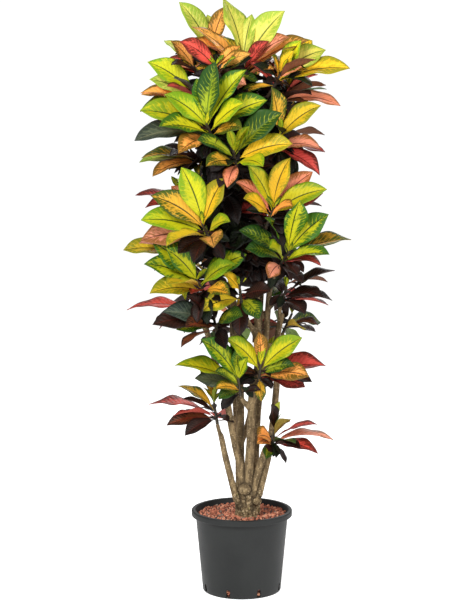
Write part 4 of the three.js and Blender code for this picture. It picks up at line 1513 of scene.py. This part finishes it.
@dataclass(frozen=True)
class Shoot:
    """A young shoot with the swellings of its fallen leaves and its tip bud, in millimetres.

    Attributes:
        foot, taper: Radius at its foot, and what it loses on its way up.
        swelling, swellings: Height of the swellings, and the turn of their wave in its length, in radians.
        bud: Radii of the last rings, which close the tip.
        over: How far the bud stands over the crown.
    """

    foot: float = 5.3
    taper: float = 1.6
    swelling: float = 0.5
    swellings: float = 44
    bud: tuple[float, ...] = (3.9, 3.4, 2.6, 1.5, 0.4)
    over: float = 3
    steps: int = 40
    sides: int = 10

    def piece(self, plan: HeadPlan, finish: Finish) -> bpy.types.Object:
        """Builds a head's shoot.

        Args:
            plan: The head's plan.
            finish: The shoot's finish.

        Returns:
            The piece.
        """
        shares = np.linspace(0, 1, self.steps)
        swell = np.maximum(0, np.sin(shares * self.swellings)) ** 3
        radii = self.foot - self.taper * shares + self.swelling * swell
        radii[-len(self.bud):] = self.bud
        points = plan.below_tip(plan.SHOOT) + plan.axis * (plan.SHOOT + self.over) * shares[:, None]
        mould = Mould()
        mould.tube(Route(points, shares).rings(radii, self.sides))
        mesh = mould.mesh(f"shoot_{plan.name}")
        mesh.materials.append(finish.material)
        return piece_of(mesh, mesh.name)


@dataclass
class LeafyHeads:
    """All leafy heads, each one piece of leaves and one shoot.

    Attributes:
        fine: Form of the leaves that the model has.
        plain: Form of the leaves that it leaves out, apart from the loose ones.
        hanging, hanging_between: Old leaves under a head whose crown is between these heights.
        inner: Short old leaves round every shoot.
        behind, behind_over: Leaves behind a front head whose crown is above this height, mostly near black
            with painted shade.
        crest, crest_over: The warm leaves that stand there instead above this height.
        young: Small leaves at the tip of every shoot.
        shoot: Form of the shoots.
        match: Greatest distance between a leaf's tip and the model's, in metres.
    """

    fine: Blade = Blade()
    plain: Blade = Blade(steps=12, columns=5)
    hanging: Tuft = Tuft(8, 150, (42, 68), (0, 360), (-62, -20), (70, 112), 0.5, HANGING_TONES)
    hanging_between: Pair = (1000.0, 1560.0)
    inner: Tuft = Tuft(6, 300, (20, 66), (0, 360), (-44, 14), (56, 86), 0.46, HANGING_TONES)
    behind: Tuft = Tuft(14, 200, (12, 66), (-10, 200), (-34, 44), (84, 118), 0.5, SHADE_TONES)
    behind_over: float = 1390.0
    crest: Tuft = Tuft(16, 200, (6, 56), (-40, 260), (-16, 42), (84, 122), 0.46, CREST_TONES)
    crest_over: float = 1600.0
    young: Tuft = Tuft(4, 250, (0, 5), (0, 360), (44, 76), (32, 58), 0.34, BUD_TONES)
    shoot: Shoot = Shoot()
    match: float = 1.6 * MM

    def build(self, wood: "Wood") -> None:
        """Builds and hands over every head.

        Args:
            wood: The wood, whose branches carry the heads.
        """
        leaf_finish, shoot_finish = LeafFinish("croton_leaf"), ShootFinish("young_shoot")
        shade = ShadeLeaves(self.plain)
        for index, plan in enumerate(HEADS):
            node = f"head_{plan.name}"
            head = Head(plan, index, wood.branches[plan.name])
            foliage = Foliage(head)
            placed = self.own_leaves(foliage, node)
            for leaf in head.on_show(plan.loose, head.FIRST_LOOSE):
                foliage.add(self.fine, leaf, plan.below_tip(leaf.down))
            shade.grow(foliage, wood.stems[plan.stem])
            for tuft in self.tufts_of(plan):
                tuft.grow(foliage, self.plain)
            leaves = foliage.piece(f"leaves_{plan.name}", leaf_finish)
            shoot = self.shoot.piece(plan, shoot_finish)
            hand_over(leaves, node)
            hand_over(shoot, node)
            LOG.info("%s: %d of %d leaves found", node, placed, len(plan.shown) + plan.more)

    def tufts_of(self, plan: HeadPlan) -> list[Tuft]:
        """Chooses the sets of plain leaves that a head has.

        Args:
            plan: The head's plan.

        Returns:
            The sets, in the order in which they grow.
        """
        height, (lowest, highest) = plan.crown[2], self.hanging_between
        found = [self.young, self.inner]
        if lowest < height < highest:
            found.append(self.hanging)
        if height > self.behind_over and plan.crown[1] < Head.BACK_FROM:
            found.append(self.crest if height > self.crest_over else self.behind)
        return found

    def own_leaves(self, foliage: Foliage, node: str) -> int:
        """Adds the leaves that the model has, each where the model put it.

        Args:
            foliage: The head's leaves.
            node: Its node in the model.

        Returns:
            How many leaves were found in the model.
        """
        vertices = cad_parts[node].data.vertices
        tree = KDTree(len(vertices))
        for i, vertex in enumerate(vertices):
            tree.insert(vertex.co, i)
        tree.balance()
        placed = 0
        for leaf in foliage.head.leaves():
            root = foliage.head.plan.below_tip(leaf.down)
            for shift in YIELDS:
                places, _ = self.fine.spine(leaf, root, shift, np.array([1.0]))
                if tree.find(Vector(places[0] * MM))[2] < self.match:
                    foliage.add(self.fine, leaf, root, shift)
                    placed += 1
                    break
        return placed


@dataclass
class ShadeLeaves:
    """Old, drooping leaves on the branches and stems inside the plant, mostly near black with painted shade,
    in millimetres and degrees.

    Attributes:
        form: Form of the leaves.
        branch_seed, stem_seed: What sets their draws apart from those of other leaves.
        on_branch, dense_from: Number along a branch, where its crown is above this height.
        branch_part: Share of the branch where they start, and share of it that they take.
        on_stem, stem_from: Number on the stem near a branch, where it leaves above this height.
        stem_part: Length of the stem that they take, and share of it that is below the branch.
        bare_below: Height below which no such leaf hangs.
        turn: Turn from one leaf to the next, what a draw adds, and the turn from one head to the next.
        rise, reach: Lowest rise and shortest leaf, and what a draw adds to each.
        down: How far below a shoot's tip a leaf would be that bends as much.
        middle, within: The middle of the plant's inside, and how far from there leaves reach.
        shortest: Share of its sideways reach that a leaf keeps at least.
    """

    form: Blade
    branch_seed: int = 50
    stem_seed: int = 100
    on_branch: int = 9
    dense_from: float = 860.0
    branch_part: Pair = (0.3, 0.66)
    on_stem: int = 7
    stem_from: float = 1000.0
    stem_part: Pair = (120.0, 0.8)
    bare_below: float = 985.0
    turn: Point = (137.5, 40.0, 60.0)
    rise: Pair = (-40.0, 56.0)
    reach: Pair = (112.0, 44.0)
    width: float = 0.48
    down: float = 50.0
    middle: Pair = (5.0, 25.0)
    within: float = 150.0
    shortest: float = 0.35

    def grow(self, foliage: Foliage, stem: Route) -> None:
        """Adds leaves along a head's branch, and along the stem that carries it.

        Args:
            foliage: The head's leaves.
            stem: The stem that its branch leaves.
        """
        head = foliage.head
        start, part = self.branch_part
        for i in range(self.on_branch if head.plan.crown[2] > self.dense_from else 0):
            draw = Draws(head.index + self.branch_seed, i)
            share = start + part * (i + draw()) / self.on_branch
            self.add(foliage, i, head.branch.at_share(share), draw)
        length, below = self.stem_part
        for i in range(self.on_stem if head.plan.fork > self.stem_from else 0):
            draw = Draws(head.index + self.stem_seed, i)
            place, _, _ = stem.at_height(head.plan.fork + length * (draw() - below))
            self.add(foliage, i, place, draw)

    def add(self, foliage: Foliage, i: int, root: np.ndarray, draw: Draws) -> None:
        """Adds one leaf, unless it would hang below the dense part.

        Args:
            foliage: The head's leaves.
            i: Its number there.
            root: Where it leaves the wood.
            draw: Its own draws.
        """
        each, strays, each_head = self.turn
        turn = math.radians(each * i + strays * draw() + each_head * foliage.head.index)
        rise = math.radians(self.rise[0] + self.rise[1] * draw())
        reach = self.reach[0] + self.reach[1] * draw()
        line = reach * heading(turn, rise)
        far = float(np.linalg.norm((root + line)[:2] - self.middle))
        if far > self.within:
            line[:2] *= max(self.shortest, 1 - (far - self.within) / reach)
        if min(root[2], root[2] + line[2]) < self.bare_below:
            return
        leaf = Leaf.along(draw.choice(SHADE_TONES), self.down, line, draw, self.width)
        foliage.add(self.form, leaf, root)


@dataclass
class Wood:
    """The stump, its knobs, the stems and the branches, grown together.

    Attributes:
        voxel: Size of the cells in which the limbs are joined, in metres.
        regain: How much the easing takes off every limb, in metres.
        relief: Depth of the bark's unevenness, in metres.
        broad, fine, fine_share: Scales of its broad and its fine part, and the depth of the fine one.
        fades, least: Height that would end it and how far below it is full, and the share that stays.
        seam_width: How far a seam between two limbs reaches to each side, in millimetres.
        seam_depth: How far a seam is sunk, in metres.
        sides, limb_sides: Sides of the stump and its knobs, and of a stem or branch.
        branch_foot, branch_end: A branch's radius as a share of its stem's, and at its end in millimetres.
        joint: Air between a branch's end and its shoot, in millimetres.
        bulge, bulge_from: Unevenness of the stump as a share of its radius, and where it starts.
        stump_profile: Radius and height of the stump, in millimetres.
    """

    voxel: float = 3.1 * MM
    regain: float = 0.7 * MM
    relief: float = 1.2 * MM
    broad: Point = (95.0, 95.0, 48.0)
    fine: Point = (230.0, 230.0, 160.0)
    fine_share: float = 0.6
    fades: Pair = (0.7, 0.4)
    least: float = 0.25
    seam_width: float = 6.0
    seam_depth: float = 4.5 * MM
    sides: int = 40
    limb_sides: int = 12
    branch_foot: float = 0.85
    branch_end: float = 5.5
    joint: float = 0.3
    bulge: float = 0.05
    bulge_from: float = 252
    stump_at: Pair = (17, -20)
    stump_profile: tuple[Pair, ...] = (
        (38, 150), (38, 251), (40, 258), (40, 266), (38.5, 280), (35, 294), (30, 305), (22, 318), (14, 328),
        (3, 334))

    @cached_property
    def stems(self) -> dict[str, Route]:
        """The route of every stem."""
        return {name: Route.through(plan.route) for name, plan in STEMS.items()}

    @cached_property
    def branches(self) -> dict[str, Route]:
        """The route of every branch, which starts along its stem and ends in line with its shoot."""
        found = {}
        for plan in HEADS:
            end = plan.below_tip(plan.SHOOT + self.joint)
            start, way, _ = self.stems[plan.stem].at_height(plan.fork)
            pull = float(np.linalg.norm(end - start)) / 3
            found[plan.name] = Route.bezier((start, start + way * pull / 3, end - plan.axis * pull, end))
        return found

    def limbs(self) -> Mould:
        """Lays out every limb.

        Returns:
            The stump, the knobs, the stems and the branches as closed tubes.
        """
        mould = Mould()
        radius, height = np.array(self.stump_profile).T[:, :, None]
        uneven = 1 + self.bulge * np.sin(3 * circle(self.sides) + 1) * (height > self.bulge_from)
        mould.tube(turned(radius * uneven, height, self.sides, self.stump_at))
        lean = np.linspace(-math.pi / 2 + 0.05, math.pi / 2 - 0.05, 12)[:, None]
        for x, y, z, size in KNOBS:
            mould.tube(turned(size * np.cos(lean), z + size * np.sin(lean), self.sides, (x, y)))
        for name, plan in STEMS.items():
            route = self.stems[name]
            mould.tube(route.rings(plan.radius(route.shares), self.limb_sides))
        for plan in HEADS:
            _, _, share = self.stems[plan.stem].at_height(plan.fork)
            foot = self.branch_foot * STEMS[plan.stem].radius(share)
            route = self.branches[plan.name]
            mould.tube(route.rings(foot + (self.branch_end - foot) * route.shares, self.limb_sides))
        return mould

    def seams(self, points: np.ndarray) -> np.ndarray:
        """Finds the seams where two limbs meet side by side.

        Args:
            points: Places on the wood, in millimetres.

        Returns:
            For each place 1 on a seam, less beside it and 0 away from any.
        """
        x, y, z = points.T
        gaps = [np.sqrt((x - at[0]) ** 2 + (y - at[1]) ** 2 + (z - at[2]) ** 2) - at[3] for at in KNOBS]
        for name, plan in STEMS.items():
            across, back, rise = self.stems[name].points.T
            radius = np.interp(z, rise, plan.radius(self.stems[name].shares))
            gap = np.hypot(x - np.interp(z, rise, across), y - np.interp(z, rise, back)) - radius
            gaps.append(np.where((z < rise[0]) | (z > rise[-1]), 1000.0, gap))
        near, next_near, *_ = np.sort(np.array(gaps), axis=0)
        between = np.clip(1 - (next_near - near) / self.seam_width, 0, 1)
        return between * np.clip(2 - next_near / self.seam_width, 0, 1)

    def unevenness(self, points: np.ndarray) -> np.ndarray:
        """Gives the bark's unevenness.

        Args:
            points: Places on the wood, in metres.

        Returns:
            How far each place stands out, as a share of the relief.
        """
        places = zip((points * self.broad).tolist(), (points * self.fine).tolist())
        found = [noise.noise(Vector(broad)) + self.fine_share * noise.noise(Vector(fine))
                 for broad, fine in places]
        gone, over = self.fades
        return np.array(found) * np.clip((gone - points[:, 2]) / over, self.least, 1.0)

    def build(self) -> None:
        """Joins the limbs, gives them their seams and unevenness and hands the wood over."""
        piece = piece_of(self.limbs().mesh("trunk_and_branches"), "trunk_and_branches")
        joined = piece.modifiers.new("joined", "REMESH")
        joined.mode = "VOXEL"
        joined.voxel_size = self.voxel
        eased = piece.modifiers.new("eased", "SMOOTH")
        eased.factor = 0.5
        eased.iterations = 4
        mesh = settled(piece).data
        points = np.empty(len(mesh.vertices) * 3, np.float32)
        normals = np.empty_like(points)
        mesh.vertices.foreach_get("co", points)
        mesh.vertices.foreach_get("normal", normals)
        points, normals = points.reshape(-1, 3), normals.reshape(-1, 3)
        seam = self.seams(points / MM)
        out = self.regain + self.unevenness(points) * self.relief - seam * self.seam_depth
        points += normals * out[:, None]
        mesh.vertices.foreach_set("co", points.ravel())
        # The seams are sunk as real form above, and the same mask also sets the bark's painted shade there.
        store(mesh, "seam", seam)
        mesh.shade_smooth()
        mesh.materials.clear()
        mesh.materials.append(BarkFinish("bark").material)
        hand_over(piece, "trunk")


@dataclass
class Pot:
    """The round nursery pot with its lip and drainage slots, in millimetres and degrees.

    Attributes:
        base, shoulder, rim: Radii of the foot, of the wall under the lip and of the lip.
        lip, roll, inner_roll: Height of the lip, and radii of its outer and inner edge.
        cutters_reach: Distances from the middle between which the slots' cutters lie.
    """

    height: float = 260
    base: float = 124.5
    shoulder: float = 148
    rim: float = 160
    lip: float = 18
    roll: float = 4
    inner_roll: float = 2
    wall: float = 3
    floor: float = 4
    slots: int = 8
    first_slot: float = -20
    slot_width: float = 12
    slot_bottom: float = 5
    slot_top: float = 29
    cutters_reach: Pair = (112.5, 140.5)
    sides: int = 168

    def wall_inside(self, height: float) -> float:
        """Gives the wall's inner radius at a height."""
        widens = (self.shoulder - self.base) * (height - self.floor) / (self.height - self.floor)
        return self.base - self.wall + widens

    def profile(self) -> np.ndarray:
        """Draws the outline from the foot's middle, up outside and down inside.

        Returns:
            A row of radius and height for each ring.
        """
        top, rim, lip = self.height, self.rim, self.height - self.lip
        widens = (self.shoulder - self.base) / (top - 9)
        wall = [(self.base + widens * (z - 3), z) for z in np.linspace(20, top - 8, 9)]
        outer = arc((rim - self.roll, top - self.roll), self.roll, (0, math.pi / 2), 7)
        inner = arc((self.shoulder + 1.6, top - self.inner_roll), self.inner_roll, (math.pi / 2, math.pi), 5)
        inside = [(self.wall_inside(z), z) for z in (top - 6, 60, 12)]
        corner = self.wall_inside(self.floor)
        return np.array([
            (self.base - 5, 0), (self.base - 1.5, 0.5), (self.base, 3), *wall,
            (self.shoulder + 1, top - 6.2), (rim - 4, top - 6), (rim - 3, top - 7), (rim - 3, lip + 0.8),
            (rim - 2.4, lip), (rim - 0.7, lip), (rim, lip + 0.8), *outer, *inner, *inside,
            (corner - 1, self.floor + 1), (corner - 5, self.floor),
        ])

    def slot_cutters(self) -> bpy.types.Object:
        """Makes one mesh of upright bars with round tops, one at each slot.

        Returns:
            The bars, which reach through the wall.
        """
        mould = Mould()
        half = self.slot_width / 2
        arch = arc((0, self.slot_top - half), half, (0, math.pi), 13)
        x, z = np.array([(-half, self.slot_bottom), (half, self.slot_bottom), *arch]).T
        for i in range(self.slots):
            turn = math.radians(self.first_slot + i * 360 / self.slots)
            cos, sin = math.cos(turn), math.sin(turn)
            ends = [(x * cos + out * sin, x * sin - out * cos, z) for out in self.cutters_reach]
            mould.tube(np.array(ends).transpose(0, 2, 1))
        return piece_of(mould.mesh("slot_bars"), "slot_bars")

    def build(self) -> None:
        """Turns the pot, cuts its slots and hands it over."""
        radii, heights = self.profile().T[:, :, None]
        mould = Mould()
        mould.tube(turned(radii, heights, self.sides))
        pot = piece_of(mould.mesh("nursery_pot"), "nursery_pot")
        bars = self.slot_cutters()
        cut = pot.modifiers.new("slots", "BOOLEAN")
        cut.operation = "DIFFERENCE"
        cut.solver = "EXACT"
        cut.object = bars
        mesh = settled(pot).data
        bpy.data.objects.remove(bars)
        mesh.shade_smooth()
        mesh.set_sharp_from_angle(angle=math.radians(40))
        mesh.materials.clear()
        mesh.materials.append(PotFinish("charcoal_plastic").material)
        hand_over(pot, "pot")


@dataclass
class Substrate:
    """The lava granules that fill the pot.

    Attributes:
        top: Height of the fill, in millimetres.
        slot_band: Heights of the fill's band behind the slots, in millimetres.
        behind_slots, behind_wall: Air between wall and fill, there and elsewhere, in millimetres.
        spacing, most: Least distance between granules in metres, and most on a square metre.
        radius, squat: Radius of a granule's plain form in metres, and its stretch along each axis.
        size: Smallest and largest size of a granule against its plain form.
        lumps, lump_height: Scale of the lumps on the granules, and their height in metres.
        seed: Seed of the granules' places and sizes.
    """

    top: float = 248
    slot_band: Pair = (4.6, 33)
    behind_slots: float = 5
    behind_wall: float = 1.5
    sides: int = 96
    spacing: float = 6.9 * MM
    most: float = 24000.0
    size: Pair = (0.6, 1.2)
    radius: float = 4.6 * MM
    squat: Point = (1.15, 0.9, 0.8)
    lumps: float = 150.0
    lump_height: float = 9 * MM
    seed: int = 11

    def bed(self, pot: Pot, material: bpy.types.Material) -> bpy.types.Object:
        """Builds the plain fill under the granules.

        Args:
            pot: The pot that it fills.
            material: The granules' material.

        Returns:
            The fill, with its top and its band behind the slots marked for granules.
        """
        low, high = self.slot_band
        heights = (low, 5, 10, 32, high, 120, 236, self.top - 5)
        reach = [pot.wall_inside(z) - (self.behind_slots if low < z < high else self.behind_wall)
                 for z in heights]
        surface = [(radius, self.top - 4) for radius in (110, 80, 46, 20)]
        profile = np.array([(reach[0] - 4, low), *zip(reach, heights), *surface])
        mould = Mould()
        mould.tube(turned(*profile.T[:, :, None], self.sides))
        mesh = mould.mesh("granules")
        carries = []
        for face in mesh.polygons:
            height, slope = face.center.z / MM, face.normal.z
            carries.append(float((height > 200 and slope > 0.8) or (10 < height < 32 and abs(slope) < 0.6)))
        store(mesh, "carries", np.array(carries), "FACE")
        mesh.materials.append(material)
        return piece_of(mesh, "granules")

    def tree(self, material: bpy.types.Material) -> bpy.types.NodeTree:
        """Builds the tree that strews granules over the marked faces.

        Args:
            material: The granules' material.

        Returns:
            The tree, with inputs for spacing, sizes and seed.
        """
        tree = bpy.data.node_groups.new("strewn_granules", "GeometryNodeTree")
        face = tree.interface
        face.new_socket("Geometry", in_out="INPUT", socket_type="NodeSocketGeometry")
        kinds = {"Spacing": "Float", "Smallest": "Float", "Largest": "Float", "Seed": "Int"}
        for label, kind in kinds.items():
            face.new_socket(label, in_out="INPUT", socket_type=f"NodeSocket{kind}")
        face.new_socket("Geometry", in_out="OUTPUT", socket_type="NodeSocketGeometry")
        graph = Graph(tree)
        source, target = graph.add("NodeGroupInput").outputs, graph.add("NodeGroupOutput")
        marked = graph.add("GeometryNodeInputNamedAttribute", {"Name": "carries"}, data_type="FLOAT")
        strewn = graph.add("GeometryNodeDistributePointsOnFaces", {
            "Mesh": source["Geometry"], "Selection": marked.outputs[0], "Distance Min": source["Spacing"],
            "Density Max": self.most, "Density Factor": 1.0, "Seed": source["Seed"],
        }, distribute_method="POISSON")
        sized = graph.add("FunctionNodeRandomValue", {
            2: source["Smallest"], 3: source["Largest"], "Seed": source["Seed"]}, data_type="FLOAT")
        turns = graph.add("FunctionNodeRandomValue", {
            0: (0.0, 0.0, 0.0), 1: (6.28, 6.28, 6.28), "Seed": 5}, data_type="FLOAT_VECTOR")
        ball = graph.add("GeometryNodeMeshUVSphere", {"Segments": 7, "Rings": 5, "Radius": self.radius})
        plain = graph.add("GeometryNodeTransform", {"Geometry": ball.outputs["Mesh"], "Scale": self.squat})
        placed = graph.add("GeometryNodeInstanceOnPoints", {
            "Points": strewn.outputs["Points"], "Instance": plain.outputs["Geometry"],
            "Rotation": turns.outputs[0], "Scale": sized.outputs[1]})
        tint = graph.add("FunctionNodeRandomValue", {2: 0.03, 3: 1.0, "Seed": 9}, data_type="FLOAT")
        told = graph.add("GeometryNodeStoreNamedAttribute", {
            "Geometry": placed.outputs["Instances"], "Name": "tint", "Value": tint.outputs[1],
        }, data_type="FLOAT", domain="INSTANCE")
        real = graph.add("GeometryNodeRealizeInstances", {"Geometry": told.outputs["Geometry"]})
        rough = graph.add("ShaderNodeTexNoise", {"Scale": self.lumps, "Detail": 2.0})
        centred = graph.add("ShaderNodeVectorMath", {
            0: rough.outputs["Color"], 1: (0.5, 0.5, 0.5)}, operation="SUBTRACT")
        pushed = graph.add("ShaderNodeVectorMath", {
            0: centred.outputs[0], "Scale": self.lump_height}, operation="SCALE")
        lumpy = graph.add("GeometryNodeSetPosition", {
            "Geometry": real.outputs["Geometry"], "Offset": pushed.outputs[0]})
        whole = graph.add("GeometryNodeJoinGeometry")
        for part in (source["Geometry"], lumpy.outputs["Geometry"]):
            graph.set(whole.inputs[0], part)
        dressed = graph.add("GeometryNodeSetMaterial", {"Geometry": whole.outputs[0], "Material": material})
        graph.set(target.inputs[0], dressed.outputs[0])
        return tree

    def build(self, pot: Pot) -> None:
        """Strews the granules over the fill and hands it over.

        Args:
            pot: The pot that it fills.
        """
        material = GranuleFinish("lava_granules").material
        piece = self.bed(pot, material)
        strewn = piece.modifiers.new("strewn", "NODES")
        strewn.node_group = self.tree(material)
        smallest, largest = self.size
        values = {"Spacing": self.spacing, "Smallest": smallest, "Largest": largest, "Seed": self.seed}
        for item in strewn.node_group.interface.items_tree:
            if item.in_out == "INPUT" and item.name in values:
                strewn[item.identifier] = values[item.name]
        settled(piece)
        hand_over(piece, "substrate")


@dataclass(frozen=True)
class Lamp:
    """A square soft light: its name, place, side, power in watts and what it shines on."""

    name: str
    at: Point
    size: float
    power: float
    aim: Point

    def build(self) -> None:
        """Puts the light in the scene, turned to its aim."""
        data = bpy.data.lights.new(self.name, "AREA")
        data.shape = "SQUARE"
        data.size = self.size
        data.energy = self.power
        made = bpy.data.objects.new(self.name, data)
        made.location = self.at
        made.rotation_euler = (Vector(self.aim) - Vector(self.at)).to_track_quat("-Z", "Y").to_euler()
        bpy.context.scene.collection.objects.link(made)


@dataclass
class Studio:
    """A white floor, soft lights and the camera, in metres and degrees.

    Attributes:
        pitch: How far the camera looks down.
        lens, sensor: Its focal length and the width of its picture, in millimetres.
        sky, sky_seen: Strength of the surroundings on the plant, and what the camera sees more.
    """

    camera_at: Point = (-0.0137, -5.0, 1.512)
    pitch: float = 6.65
    lens: float = 96.3
    sensor: float = 36
    floor_reach: float = 30
    sky: float = 0.44
    sky_seen: float = 0.62
    lamps: tuple[Lamp, ...] = (
        Lamp("key", (-2.0, -3.6, 3.8), 2.0, 215, (0, 0, 1.1)),
        Lamp("fill", (3.0, -3.0, 1.9), 2.2, 80, (0, 0, 1.0)),
        Lamp("rim", (0.8, 3.4, 3.2), 2.0, 60, (0, 0, 1.2)),
    )

    def lay_floor(self) -> None:
        """Lays the floor."""
        mesh = bpy.data.meshes.new("floor")
        far = self.floor_reach
        corners = [(-far, -far, 0), (far, -far, 0), (far, far, 0), (-far, far, 0)]
        mesh.from_pydata(corners, [], [(0, 1, 2, 3)])
        mesh.materials.append(FloorFinish("white_floor").material)
        piece_of(mesh, "floor")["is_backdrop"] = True

    def surround(self) -> None:
        """Makes the surroundings an even white that lights the plant softly."""
        world = bpy.data.worlds.new("white_surroundings")
        world.use_nodes = True
        graph = Graph(world.node_tree)
        seen = graph.add("ShaderNodeLightPath").outputs["Is Camera Ray"]
        strength = graph.plus(graph.times(seen, self.sky_seen), self.sky)
        graph.fill(world.node_tree.nodes["Background"], {"Color": (1, 1, 1, 1), "Strength": strength})
        bpy.context.scene.world = world

    def build(self) -> None:
        """Sets up floor, surroundings, lights and camera."""
        self.lay_floor()
        self.surround()
        for lamp in self.lamps:
            lamp.build()
        data = bpy.data.cameras.new("camera")
        data.lens = self.lens
        data.sensor_width = self.sensor
        camera = bpy.data.objects.new("camera", data)
        camera.location = self.camera_at
        camera.rotation_euler = (math.radians(90 - self.pitch), 0, 0)
        scene = bpy.context.scene
        scene.collection.objects.link(camera)
        scene.camera = camera
        scene.view_settings.view_transform = "Standard"


def main() -> None:
    """Builds the plant from the pot upwards."""
    logging.basicConfig(level=logging.INFO, format="%(message)s")
    pot = Pot()
    pot.build()
    Substrate().build(pot)
    wood = Wood()
    wood.build()
    LeafyHeads().build(wood)
    Studio().build()
    boxes = {"cad": CAD_BOX, "visual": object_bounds()}
    {name: [[float(v) for v in corner] for corner in box] for name, box in boxes.items()}


if __name__ == "__main__":
    main()
